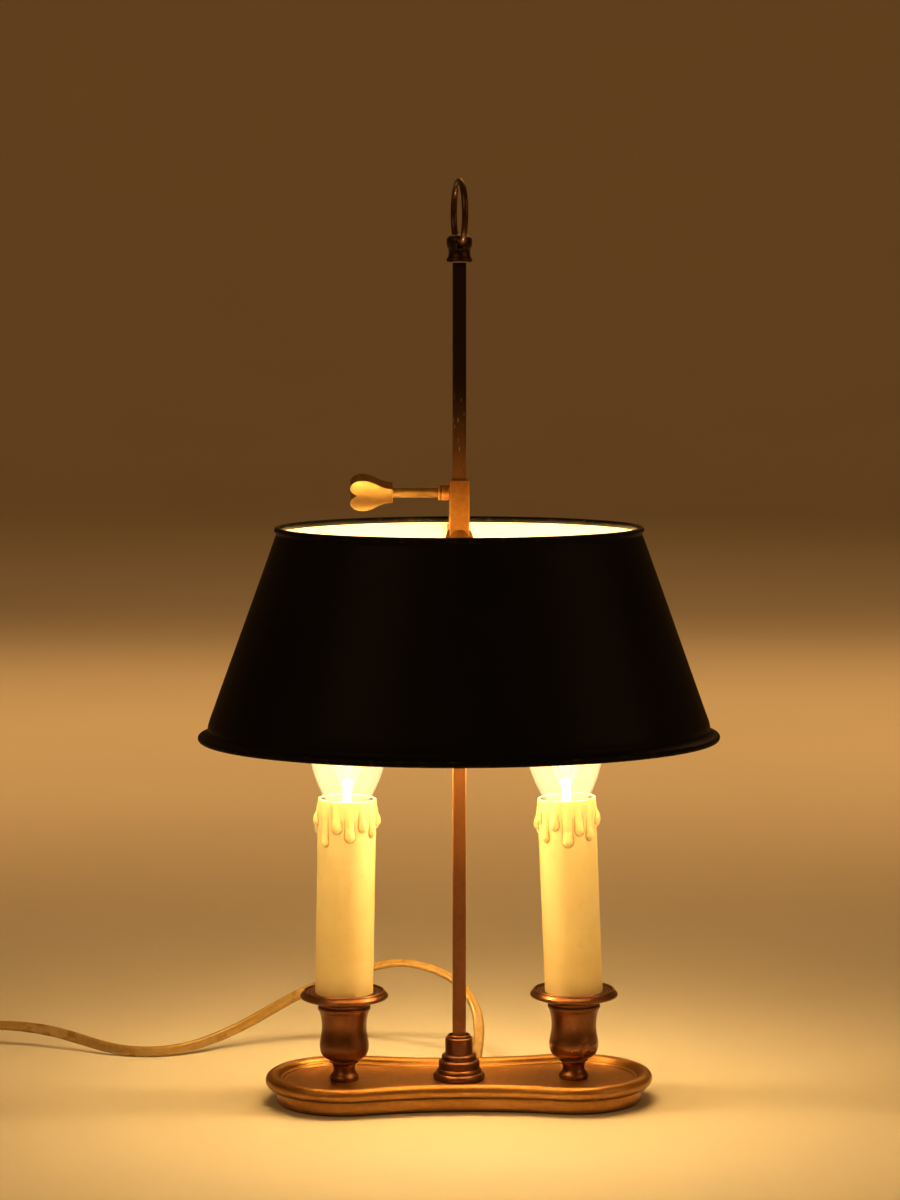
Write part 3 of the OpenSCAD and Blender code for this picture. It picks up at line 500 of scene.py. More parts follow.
class Nodes:
    """A short way to write a material's nodes."""

    def __init__(self, name):
        self.mat = bpy.data.materials.new(name)
        self.mat.use_nodes = True
        self.t = self.mat.node_tree
        self.b = self.t.nodes["Principled BSDF"]
        self.co = self.t.nodes.new("ShaderNodeTexCoord").outputs["Object"]

    def put(self, node, key, value):
        if hasattr(value, "links") or isinstance(value, bpy.types.NodeSocket):
            self.t.links.new(value, node.inputs[key])
        else:
            node.inputs[key].default_value = value

    def noise(self, scale, detail=3.0, rough=0.55, stretch=None, distortion=0.0):
        n = self.t.nodes.new("ShaderNodeTexNoise")
        v = self.co
        if stretch:
            m = self.t.nodes.new("ShaderNodeMapping")
            m.inputs["Scale"].default_value = stretch
            self.t.links.new(self.co, m.inputs["Vector"])
            v = m.outputs["Vector"]
        self.t.links.new(v, n.inputs["Vector"])
        n.inputs["Scale"].default_value = scale
        n.inputs["Detail"].default_value = detail
        n.inputs["Roughness"].default_value = rough
        n.inputs["Distortion"].default_value = distortion
        return n.outputs["Fac"]

    def voronoi(self, scale, feature="F1", rand=1.0):
        n = self.t.nodes.new("ShaderNodeTexVoronoi")
        n.feature = feature
        self.t.links.new(self.co, n.inputs["Vector"])
        n.inputs["Scale"].default_value = scale
        n.inputs["Randomness"].default_value = rand
        return n.outputs["Distance"]

    def attr(self, name):
        n = self.t.nodes.new("ShaderNodeAttribute")
        n.attribute_name = name
        return n.outputs["Fac"]

    def z(self):
        n = self.t.nodes.new("ShaderNodeSeparateXYZ")
        self.t.links.new(self.co, n.inputs[0])
        return n.outputs["Z"]

    def ramp(self, fac, stops):
        n = self.t.nodes.new("ShaderNodeValToRGB")
        self.t.links.new(fac, n.inputs["Fac"])
        el = n.color_ramp.elements
        while len(el) < len(stops):
            el.new(0.5)
        for e, (pos, col) in zip(el, stops):
            e.position = pos
            e.color = (*col, 1.0) if len(col) == 3 else col
        return n.outputs["Color"]

    def span(self, fac, a, b, lo=0.0, hi=1.0):
        n = self.t.nodes.new("ShaderNodeMapRange")
        self.t.links.new(fac, n.inputs["Value"])
        for k, v in zip(("From Min", "From Max", "To Min", "To Max"), (a, b, lo, hi)):
            n.inputs[k].default_value = v
        return n.outputs["Result"]

    def math(self, op, a, b=0.0):
        n = self.t.nodes.new("ShaderNodeMath")
        n.operation = op
        n.use_clamp = False
        for i, v in enumerate((a, b)):
            self.put(n, i, v)
        return n.outputs[0]

    def mix(self, fac, a, b, blend="MIX"):
        n = self.t.nodes.new("ShaderNodeMix")
        n.data_type = "RGBA"
        n.blend_type = blend
        for key, v in ((0, fac), (6, a), (7, b)):
            if isinstance(v, bpy.types.NodeSocket):
                self.t.links.new(v, n.inputs[key])
            else:
                n.inputs[key].default_value = v if key == 0 else ((*v, 1.0) if len(v) == 3 else v)
        return n.outputs[2]

    def bump(self, height, strength, distance=0.001, under=None):
        n = self.t.nodes.new("ShaderNodeBump")
        n.inputs["Strength"].default_value = strength
        n.inputs["Distance"].default_value = distance
        self.t.links.new(height, n.inputs["Height"])
        if under is not None:
            self.t.links.new(under, n.inputs["Normal"])
        return n.outputs["Normal"]

    def set(self, **kw):
        for k, v in kw.items():
            key = {"color": "Base Color", "metal": "Metallic", "rough": "Roughness", "normal": "Normal",
                   "coat": "Coat Weight", "coat_rough": "Coat Roughness", "spec": "Specular IOR Level",
                   "trans": "Transmission Weight", "ior": "IOR", "sss": "Subsurface Weight",
                   "sss_radius": "Subsurface Radius", "sss_scale": "Subsurface Scale", "aniso": "Anisotropic",
                   "sheen": "Sheen Weight", "sheen_rough": "Sheen Roughness", "sheen_tint": "Sheen Tint",
                   "emit": "Emission Color", "emit_power": "Emission Strength", "alpha": "Alpha"}[k]
            if isinstance(v, bpy.types.NodeSocket):
                self.t.links.new(v, self.b.inputs[key])
            elif isinstance(v, tuple) and len(v) == 3 and key in ("Base Color", "Emission Color", "Sheen Tint"):
                self.b.inputs[key].default_value = (*v, 1.0)
            else:
                self.b.inputs[key].default_value = v
        return self.mat


def brass(name, dark, mid, light, rough=(0.27, 0.42), edge=0.75, turned=0.0, patch=24, contrast=1.0, metal=0.86, rod=False, groove=False):
    """Aged, hand-rubbed brass: a thin brown patina, thicker in hollows and rubbed to brighter metal on edges."""
    m = Nodes(name)
    big, fine = m.noise(patch, 4, 0.55, distortion=0.5), m.noise(420, 3, 0.6)
    grain = m.noise(900, 2, 0.5, stretch=(0.3, 0.3, 3.4)) if turned else m.noise(1500, 2, 0.5)
    tone = m.math("ADD", m.math("MULTIPLY", big, 0.74), m.math("MULTIPLY", fine, 0.26))
    w = 0.20 / contrast
    col = m.ramp(tone, [(0.5 - w, dark), (0.5, mid), (0.5 + w, light)])
    bright = tuple(min(1.0, 1.3 * c + 0.03) for c in light)
    e = m.math("MULTIPLY", m.attr("edge"), m.span(fine, 0.25, 0.65, 0.45, 1.0))
    col = m.mix(m.math("MULTIPLY", e, edge), col, bright)
    d = m.math("MULTIPLY", m.attr("hollow_dirt_and_shade"), m.span(big, 0.25, 0.7, 0.65, 1.0))
    col = m.mix(m.math("MULTIPLY", d, 0.85), col, tuple(0.35 * c for c in dark))
    specks = m.span(m.voronoi(330), 0.02, 0.08, 0.5, 0.0)
    col = m.mix(m.math("MULTIPLY", specks, m.span(big, 0.52, 0.64)), col, tuple(0.45 * c for c in dark))
    if groove:
        # painted shade under the rolled rim, deepened by old polish and grime there
        g = m.math("MULTIPLY", m.span(m.z(), 0.0058, 0.0070), m.span(m.z(), 0.0074, 0.0086, 1.0, 0.0))
        col = m.mix(m.math("MULTIPLY", g, 0.80), col, (0.050, 0.020, 0.007))
    if rod:
        # painted light: lighter below the shade, where the bulbs light the rod
        col = m.mix(m.span(m.z(), 0.085, 0.168, 0.0, 0.60), col, (0.50, 0.215, 0.060))
        # painted shade: darkened above the shade, where little light reaches, with scratches where the screw's tip ran
        col = m.mix(m.span(m.z(), 0.245, 0.325, 0.0, 0.96), col, tuple(0.05 * c for c in mid))
        scratch = m.math("MULTIPLY", m.span(m.noise(1400, 2, 0.5, stretch=(1, 1, 0.16)), 0.66, 0.70), m.span(m.z(), 0.290, 0.300))
        scratch = m.math("MULTIPLY", scratch, m.span(m.z(), 0.322, 0.340, 1.0, 0.0))
        col = m.mix(m.math("MULTIPLY", scratch, 0.8), col, (0.42, 0.34, 0.26))
    r = m.math("ADD", m.span(tone, 0.3, 0.75, rough[1], rough[0]), m.math("MULTIPLY", m.attr("hollow_dirt_and_shade"), 0.2))
    r = m.math("ADD", r, m.math("MULTIPLY", m.noise(180, 4, 0.7), 0.06))
    n = m.bump(grain, 0.10 if turned else 0.05, 0.0002, m.bump(m.noise(120, 4, 0.6), 0.07, 0.0004))
    return m.set(color=col, metal=metal, rough=r, normal=n)


M = {}
M["aged_brass"] = brass("aged brass", (0.215, 0.090, 0.022), (0.375, 0.176, 0.045), (0.53, 0.28, 0.085), (0.24, 0.38), 0.6, patch=16, contrast=0.8, metal=0.82, groove=True)
M["dark_brass"] = brass("dark bronze brass", (0.092, 0.035, 0.016), (0.178, 0.072, 0.031), (0.31, 0.142, 0.058), (0.20, 0.34), 0.7, turned=1.0, patch=20, contrast=0.8)
M["rod_brass"] = brass("rod brass", (0.115, 0.043, 0.019), (0.20, 0.080, 0.034), (0.31, 0.140, 0.058), (0.30, 0.44), 0.5, patch=14, contrast=0.8, metal=0.72, rod=True)
M["key_brass"] = brass("pale brass", (0.175, 0.098, 0.026), (0.275, 0.162, 0.046), (0.38, 0.235, 0.078), (0.40, 0.54), 0.35, patch=90, contrast=0.8, metal=0.85)
M["sleeve_brass"] = brass("slide brass", (0.20, 0.078, 0.014), (0.33, 0.140, 0.027), (0.44, 0.215, 0.053), (0.34, 0.48), 0.5, patch=40, contrast=1.0, metal=0.74)

# painted shade: darker copies of the brass for the finial cap and its ring, which stand where little light reaches
M["finial_brass"] = brass("finial brass", (0.016, 0.007, 0.004), (0.034, 0.015, 0.008), (0.080, 0.037, 0.017), (0.22, 0.34), 0.5, turned=1.0, patch=24, contrast=0.6)
M["ring_brass"] = brass("ring brass", (0.036, 0.015, 0.008), (0.070, 0.030, 0.015), (0.150, 0.072, 0.034), (0.15, 0.26), 0.4, patch=24, contrast=0.6)

m = Nodes("black tole")
cloud, fine = m.noise(22, 5, 0.6, distortion=0.4), m.noise(600, 3, 0.6)
col = m.ramp(cloud, [(0.3, (0.0016, 0.0015, 0.0014)), (0.7, (0.0042, 0.0038, 0.0035))])
chip = m.math("MULTIPLY", m.attr("edge"), m.span(m.noise(260, 4, 0.7), 0.56, 0.66, 0.0, 1.0))
col = m.mix(m.math("MULTIPLY", chip, 0.75), col, (0.085, 0.052, 0.028))
dust = m.span(m.voronoi(210), 0.0, 0.05, 0.35, 0.0)
col = m.mix(m.math("MULTIPLY", dust, m.span(cloud, 0.5, 0.6)), col, (0.05, 0.045, 0.04))
r = m.math("ADD", m.span(cloud, 0.3, 0.7, 0.36, 0.50), m.math("MULTIPLY", fine, 0.06))
n = m.bump(m.noise(55, 4, 0.6), 0.10, 0.0012, m.bump(m.noise(900, 2, 0.5), 0.05, 0.0002))
M["black_tole"] = m.set(color=col, rough=r, normal=n, spec=0.08)

m = Nodes("cream enamel")
cloud = m.noise(30, 5, 0.6)
col = m.ramp(cloud, [(0.3, (0.80, 0.72, 0.56)), (0.7, (0.88, 0.82, 0.68))])
col = m.mix(m.math("MULTIPLY", m.span(m.noise(120, 4, 0.7), 0.55, 0.7), 0.25), col, (0.66, 0.52, 0.32))
n = m.bump(m.noise(90, 4, 0.6), 0.12, 0.0006)
M["cream_enamel"] = m.set(color=col, rough=m.span(cloud, 0.3, 0.7, 0.42, 0.55), normal=n)

m = Nodes("ivory candle")
cloud, fine = m.noise(26, 5, 0.62, distortion=0.5), m.noise(300, 4, 0.6)
col = m.ramp(cloud, [(0.28, (0.64, 0.50, 0.24)), (0.5, (0.71, 0.60, 0.345)), (0.72, (0.75, 0.66, 0.43))])
band = m.noise(70, 3, 0.6, stretch=(0.4, 0.4, 2.4))
col = m.mix(m.span(band, 0.45, 0.75, 0.0, 0.28), col, (0.72, 0.525, 0.235))
stain = m.span(m.noise(95, 3, 0.7, distortion=1.0), 0.64, 0.74)
col = m.mix(m.math("MULTIPLY", stain, 0.28), col, (0.54, 0.34, 0.12))
specks = m.span(m.voronoi(150), 0.015, 0.035, 1.0, 0.0)
col = m.mix(m.math("MULTIPLY", specks, m.math("MULTIPLY", m.span(fine, 0.52, 0.6), 0.6)), col, (0.30, 0.17, 0.07))
col = m.mix(m.math("MULTIPLY", m.attr("wax"), 0.70), col, (0.76, 0.61, 0.26))
# painted shade: darker in the hollows round the drips
hollow = m.span(m.attr("hollow_dirt_and_shade"), 0.05, 0.50)
col = m.mix(m.math("MULTIPLY", hollow, 0.85), col, (0.46, 0.25, 0.06))
foot = m.span(m.z(), 0.0505, 0.060, 0.30, 0.0)
col = m.mix(m.math("MULTIPLY", foot, m.span(cloud, 0.3, 0.6)), col, (0.42, 0.26, 0.10))
# painted shade: the tube's inner wall, from just under the rim down, nearly black
col = m.mix(m.attr("inside"), col, (0.040, 0.028, 0.010))
r = m.span(cloud, 0.3, 0.7, 0.40, 0.56)
n = m.bump(m.noise(520, 3, 0.6), 0.10, 0.0003, m.bump(m.noise(75, 4, 0.55), 0.20, 0.0008))
# painted light: an emitted glow, brighter towards the top, standing in for the bulb's light shining through the resin
# from its end; it is dimmed in the hollows round the drips as painted shade and is off on the inner wall
lit = m.ramp(m.span(m.z(), 0.050, 0.141), [(0.0, (0.34, 0.18, 0.032)), (0.7, (0.68, 0.43, 0.09)), (1.0, (1.05, 0.76, 0.21))])
lit = m.mix(m.math("MULTIPLY", hollow, 0.95), lit, (0.36, 0.16, 0.022))
lit = m.mix(m.attr("inside"), lit, (0.0, 0.0, 0.0))
M["ivory_resin"] = m.set(color=col, rough=r, normal=n, sss=0.18, sss_radius=(1.0, 0.86, 0.42), sss_scale=0.0016, spec=0.4, emit=lit, emit_power=0.42)

m = Nodes("gold cord sleeve")
cloud = m.noise(60, 4, 0.6)
col = m.ramp(cloud, [(0.3, (0.24, 0.138, 0.032)), (0.7, (0.34, 0.212, 0.058))])
strand = m.noise(240, 2, 0.5, distortion=0.2)
col = m.mix(m.span(strand, 0.4, 0.7, 0.0, 0.30), col, (0.46, 0.30, 0.10))
M["gold_cord"] = m.set(color=col, rough=m.span(cloud, 0.3, 0.7, 0.24, 0.38), sss=0.12, sss_radius=(1.0, 0.8, 0.3), sss_scale=0.0010,
                       coat=0.3, coat_rough=0.18, normal=m.bump(m.noise(420, 3, 0.6), 0.08, 0.0002))

m = Nodes("gold moulding")
cloud = m.noise(70, 4, 0.6)
col = m.ramp(cloud, [(0.3, (0.52, 0.30, 0.09)), (0.7, (0.68, 0.44, 0.17))])
M["gold_moulding"] = m.set(color=col, rough=m.span(cloud, 0.3, 0.7, 0.32, 0.45), sss=0.12, sss_radius=(1.0, 0.8, 0.3), sss_scale=0.001,
                           normal=m.bump(m.noise(700, 2, 0.5), 0.08, 0.0002))

m = Nodes("cream moulding")
cloud = m.noise(50, 4, 0.6)
col = m.ramp(cloud, [(0.3, (0.70, 0.63, 0.47)), (0.7, (0.77, 0.71, 0.56))])
col = m.mix(m.math("MULTIPLY", m.attr("hollow_dirt_and_shade"), 0.5), col, (0.30, 0.24, 0.15))
M["cream_plastic"] = m.set(color=col, rough=m.span(m.noise(400, 3, 0.6), 0.3, 0.7, 0.30, 0.42), sss=0.08, sss_radius=(1.0, 0.7, 0.4), sss_scale=0.001,
                           normal=m.bump(m.noise(1100, 2, 0.5), 0.10, 0.00015))

m = Nodes("nickel")
M["cap_metal"] = m.set(color=m.ramp(m.noise(200, 4, 0.6), [(0.3, (0.50, 0.48, 0.43)), (0.7, (0.66, 0.63, 0.57))]), metal=1.0,
                       rough=m.span(m.noise(500, 3, 0.6), 0.3, 0.7, 0.22, 0.38), normal=m.bump(m.noise(900, 2, 0.5), 0.05, 0.0002))
m = Nodes("zinc plated steel")
M["zinc_steel"] = m.set(color=m.ramp(m.noise(120, 4, 0.6), [(0.3, (0.42, 0.42, 0.41)), (0.7, (0.60, 0.60, 0.58))]), metal=1.0,
                        rough=m.span(m.noise(300, 3, 0.6), 0.3, 0.7, 0.32, 0.5), normal=m.bump(m.noise(700, 2, 0.5), 0.08, 0.0002))
m = Nodes("plain brass")
M["bright_brass"] = m.set(color=m.ramp(m.noise(120, 4, 0.6), [(0.3, (0.55, 0.36, 0.13)), (0.7, (0.74, 0.54, 0.24))]), metal=1.0,
                          rough=m.span(m.noise(300, 3, 0.6), 0.3, 0.7, 0.22, 0.4), normal=m.bump(m.noise(700, 2, 0.5), 0.06, 0.0002))
m = Nodes("green felt")
f1 = m.noise(900, 4, 0.7)
M["felt"] = m.set(color=m.ramp(f1, [(0.3, (0.012, 0.022, 0.014)), (0.7, (0.035, 0.058, 0.038))]), rough=0.95, sheen=0.3, sheen_rough=0.6,
                  normal=m.bump(f1, 0.5, 0.0006))
m = Nodes("phenolic")
M["phenolic"] = m.set(color=m.ramp(m.noise(200, 4, 0.6), [(0.3, (0.014, 0.010, 0.008)), (0.7, (0.035, 0.024, 0.018))]),
                      rough=m.span(m.noise(300, 3, 0.6), 0.3, 0.7, 0.35, 0.5), normal=m.bump(m.noise(500, 2, 0.5), 0.08, 0.0002))
m = Nodes("lead sleeve")
M["lead_sleeving"] = m.set(color=m.ramp(m.noise(200, 4, 0.6), [(0.3, (0.50, 0.40, 0.20)), (0.7, (0.66, 0.56, 0.34))]),
                           rough=m.span(m.noise(300, 3, 0.6), 0.3, 0.7, 0.4, 0.55))

m = Nodes("bulb glass")
M["clear_glass"] = m.set(color=(1.0, 0.985, 0.95), rough=0.02, trans=1.0, ior=1.47, spec=0.5,
                         emit=m.ramp(m.span(m.z(), 0.132, 0.170), [(0.0, (0.72, 0.50, 0.22)), (1.0, (1.0, 0.77, 0.41))]), emit_power=0.27,
                         normal=m.bump(m.noise(45, 2, 0.5), 0.05, 0.0008))
m = Nodes("stem glass")
M["stem_glass"] = m.set(color=(1.0, 0.93, 0.80), rough=0.16, trans=0.75, ior=1.45,
                        emit=m.ramp(m.span(m.z(), 0.136, 0.156), [(0.0, (0.55, 0.26, 0.06)), (1.0, (1.0, 0.80, 0.48))]), emit_power=5.0,
                        normal=m.bump(m.noise(260, 3, 0.6), 0.25, 0.0004))
m = Nodes("glowing filament")
M["glow"] = m.set(color=(1.0, 0.8, 0.5), rough=0.5, emit=m.ramp(m.noise(300, 2, 0.5), [(0.2, (1.0, 0.66, 0.30)), (0.8, (1.0, 0.80, 0.48))]), emit_power=260.0)
m = Nodes("support wire")
M["support_wire"] = m.set(color=m.ramp(m.noise(300, 3, 0.6), [(0.3, (0.40, 0.36, 0.30)), (0.7, (0.6, 0.55, 0.48))]), metal=1.0, rough=0.35)

for n_node, sub in ((s["node"], s["material_slot"]) for s in frame["record"]["subparts"]):
    mat = M.get({"filament": "support_wire"}.get(sub, sub))
    if mat is None:
        continue
    me = nodes[n_node].data
    me.materials.clear()
    me.materials.append(mat)
    for p in me.polygons:
        p.material_index = 0


def finish_piece(o, mat, body, replaces=(), slot=None, add_curvature_masks=False, **kw):
    if mat is not None:
        # clearing the list also resets each face's index, so the indices are put back
        idx = np.zeros(len(o.data.polygons), np.int32)
        o.data.polygons.foreach_get("material_index", idx)
        o.data.materials.clear()
        mats = mat if isinstance(mat, (list, tuple)) else [mat]
        for q in mats:
            o.data.materials.append(M[q])
        o.data.polygons.foreach_set("material_index", np.minimum(idx, len(mats) - 1))
    if add_curvature_masks:
        wear_and_shade_masks(o, **kw)
    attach(o, body)
    if replaces:
        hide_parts(*replaces)
    return o


cord.data.materials.append(M["gold_cord"])


# ------------------------------------------------------------------ base tray

BASE_L, WAIST, LOBE, RIM, FLOOR_Z = 179.0, 58.6, 36.4, 3.3, 10.0
LC, LW = BASE_L / 2 - LOBE, WAIST / 2
LQ = (LC * LC + LW * LW - LOBE * LOBE) / (2 * (LOBE - LW))
LT = LOBE / (LOBE + LQ)
LANG = math.degrees(math.atan2((LW + LQ) * LT, LC * (1 - LT) - LC))
CX = 53.1


def arc(cx, cy, r, a0, a1, n):
    return [(cx + r * cosd(a0 + (a1 - a0) * i / n), cy + r * sind(a0 + (a1 - a0) * i / n)) for i in range(n + 1)]


def peanut(d, nl=56, nw=40):
    b = LANG - 90
    q = 2 * b / nw
    return (arc(LC, 0, LOBE - d, 0, LANG, nl) + arc(0, LW + LQ, LQ + d, 270 + b - q, 270 - b + q, nw - 2)
            + arc(-LC, 0, LOBE - d, 180 - LANG, 180 + LANG, 2 * nl) + arc(0, -(LW + LQ), LQ + d, 90 + b - q, 90 - b + q, nw - 2)
            + arc(LC, 0, LOBE - d, -LANG, -LANG / nl, nl - 1))


roll = arc(RIM, FLOOR_Z + 0.3, RIM, -62, -322, 34)
tray_section = ([(8.1, 7.6), (8.1, 0.85), (5.5, 0.82), (5.2, 0.95), (5.08, 1.25), (5.0, 1.9), (4.98, 4.2), (5.0, 6.5), (5.12, 6.95), (5.38, 7.22), (5.3, 7.42)]
                + roll
                + [(6.28, 11.62), (6.55, 11.2), (6.9, 10.92), (7.25, 10.84), (7.55, 10.95), (7.82, 10.98), (8.05, 10.82), (8.22, 10.5),
                   (8.4, 10.18), (8.7, 10.03), (9.2, 10.0), (11.0, 10.0)])
tray = sweep("base_tray_shell", peanut, tray_section, angle=50)
finish_piece(tray, "aged_brass", "base", ["base_tray"], "aged_brass", True)


# ------------------------------------------------------------------ turned parts of the column

Z = FLOOR_Z
collar = lathe("rod_collar_turned", [
    (0, Z), (10.7, Z), (11.5, Z + 0.4), (11.85, Z + 1), (11.93, Z + 1.6), (11.8, Z + 2.3), (11.4, Z + 2.9), (10.8, Z + 3.3),
    (10.35, Z + 3.42), (10.45, Z + 3.95), (10.2, Z + 4.6), (9.8, Z + 5.05), (9.45, Z + 5.35), (9.5, Z + 6.0), (9.5, Z + 7.8), (9.35, Z + 8.5), (8.9, Z + 9), (8.35, Z + 9.25),
    (8.0, Z + 9.35), (8.07, Z + 9.9), (8.07, Z + 10.9), (7.8, Z + 11.5), (7.2, Z + 11.9), (6.5, Z + 12.1),
    (6.45, Z + 12.6), (6.45, Z + 18.6), (6.3, Z + 19.3), (5.9, Z + 19.6), (5.3, Z + 19.65), (5.38, Z + 20.3), (5.15, Z + 20.8), (4.75, Z + 21),
    (4.45, Z + 20.9), (4.35, Z + 20.4), (4.35, Z + 18.5), (0, Z + 18.5)], corner=40)
finish_piece(collar, "dark_brass", "base", ["rod_collar"], "dark_brass", True)

ROD_W = 6.1
rod = sweep("square_rod", lambda d: rounded_rect(ROD_W / 2, ROD_W / 2, 0.5, d, 4, pad=0.18),
            [(0.35, 14), (0.05, 14.1), (0, 14.5), (0, 30), (0, 80), (0, 160), (0, 240), (0, 320), (0, 385.6), (0.1, 385.9), (0.4, 386)], angle=60)
finish_piece(rod, "rod_brass", "base", ["rod"], "dark_brass", True, low=0.9, high=2.4)

# two cups and their drip pans
cup_profile = [(3.65, Z), (6.2, Z), (6.6, Z + 0.5), (6.77, Z + 1.2), (6.65, Z + 2), (6.1, Z + 2.8), (5.45, Z + 3.7), (5.12, Z + 4.8), (5.08, Z + 6),
               (5.3, Z + 7), (5.75, Z + 7.8), (6.35, Z + 8.3), (6.82, Z + 8.55), (6.85, Z + 9), (6.82, Z + 9.4), (6.55, Z + 9.62), (7.3, Z + 9.9), (8.5, Z + 10.4),
               (9.6, Z + 11.1), (10.5, Z + 12.2), (11.05, Z + 13.6), (11.35, Z + 15.2), (11.38, Z + 16.6), (11.15, Z + 18.6), (10.75, Z + 20.8),
               (10.45, Z + 23), (10.35, Z + 25), (10.45, Z + 27.4), (10.75, Z + 29.6), (11.2, Z + 31.4), (11.75, Z + 32.8), (12.15, Z + 33.5), (12.18, Z + 34.05),
               (9.9, Z + 34.05), (8.6, Z + 31), (8.4, Z + 25), (9, Z + 17), (8.2, Z + 13.5), (5.5, Z + 12), (3.65, Z + 12)]
PZ = Z + 34.1
pan_profile = [(9.9, PZ), (12.0, PZ), (12.12, PZ + 0.35), (11.5, PZ + 0.75), (11.4, PZ + 1.5), (11.6, PZ + 2.2), (12.6, PZ + 2.9), (14.5, PZ + 3.5),
               (17, PZ + 3.95), (19.3, PZ + 4.3), (20.15, PZ + 4.75), (20.3, PZ + 5.3), (20.1, PZ + 5.9), (19.5, PZ + 6.6), (18.95, PZ + 7.25), (18.65, PZ + 7.85),
               (18.3, PZ + 8.05), (17.98, PZ + 7.85), (17.7, PZ + 7.25), (17.2, PZ + 6.95), (16.95, PZ + 7.05), (16.65, PZ + 7.02), (16.4, PZ + 6.8),
               (15.9, PZ + 6.72), (15.6, PZ + 6.84), (15.3, PZ + 6.84), (15.0, PZ + 6.7), (3.65, PZ + 6.7), (3.65, PZ + 5.2), (9.9, PZ + 5.2)]
for side, sx in (("left", -1), ("right", 1)):
    o = lathe("cup_turned_" + side, cup_profile, at=(sx * CX, 0), closed=True, corner=40)
    finish_piece(o, "dark_brass", "base", ["cup_" + side], "dark_brass", True)
    o = lathe("drip_pan_" + side, pan_profile, at=(sx * CX, 0), closed=True, corner=40)
    finish_piece(o, "dark_brass", "base", ["bobeche_" + side], "aged_brass", True)


# ------------------------------------------------------------------ candle covers

CAND_R, CAND_TOP = 13.4, 141.5
# Each drip: angle from +X, length below the rim, radius of its bulb
DRIPS = {"left": [(223, 21, 2.1), (249.5, 14.5, 2.4), (276, 18.3, 2.35), (302.5, 13.9, 2.15), (328, 17, 2.1),
                  (357, 12.7, 2.1), (20, 15, 2.2), (50, 12, 2), (80, 18, 2.3), (108, 13, 2.1),
                  (136, 16, 2.2), (163, 17.2, 2), (186, 12.7, 2.2)],
         "right": [(179, 14.3, 2.1), (198, 11, 1.9), (217.5, 19.2, 2.15), (240, 13.3, 2.2), (266.3, 21, 2.45), (290.5, 16, 2.15),
                   (314, 18.8, 2.2), (344, 12.5, 2.2), (12, 15, 2.1), (38, 12, 2), (66, 18, 2.3), (94, 13, 2.1), (124, 16.5, 2.1), (154, 17.6, 2)]}
# How far each light leans in towards the rod, in degrees, about the top of its drip pan
LEAN = {"left": 1.1, "right": 2.4}
WELL_Z = 50.85


def leaning(side, sx):
    return (Matrix.Translation(Vector((sx * CX * MM, 0, WELL_Z * MM))) @ Matrix.Rotation(math.radians(-sx * LEAN[side]), 4, "Y")
            @ Matrix.Translation(Vector((-sx * CX * MM, 0, -WELL_Z * MM))))


def blur(a, s):
    """Gaussian blur of a grid, round the candle and along it."""
    w = int(3 * s) + 1
    k = np.exp(-0.5 * (np.arange(-w, w + 1) / s) ** 2)
    k /= k.sum()
    b = sum(k[i + w] * np.roll(a, i, axis=1) for i in range(-w, w + 1))
    pad = np.pad(b, ((w, w), (0, 0)), mode="edge")
    return sum(k[i + w] * pad[w + i:w + i + a.shape[0]] for i in range(-w, w + 1))


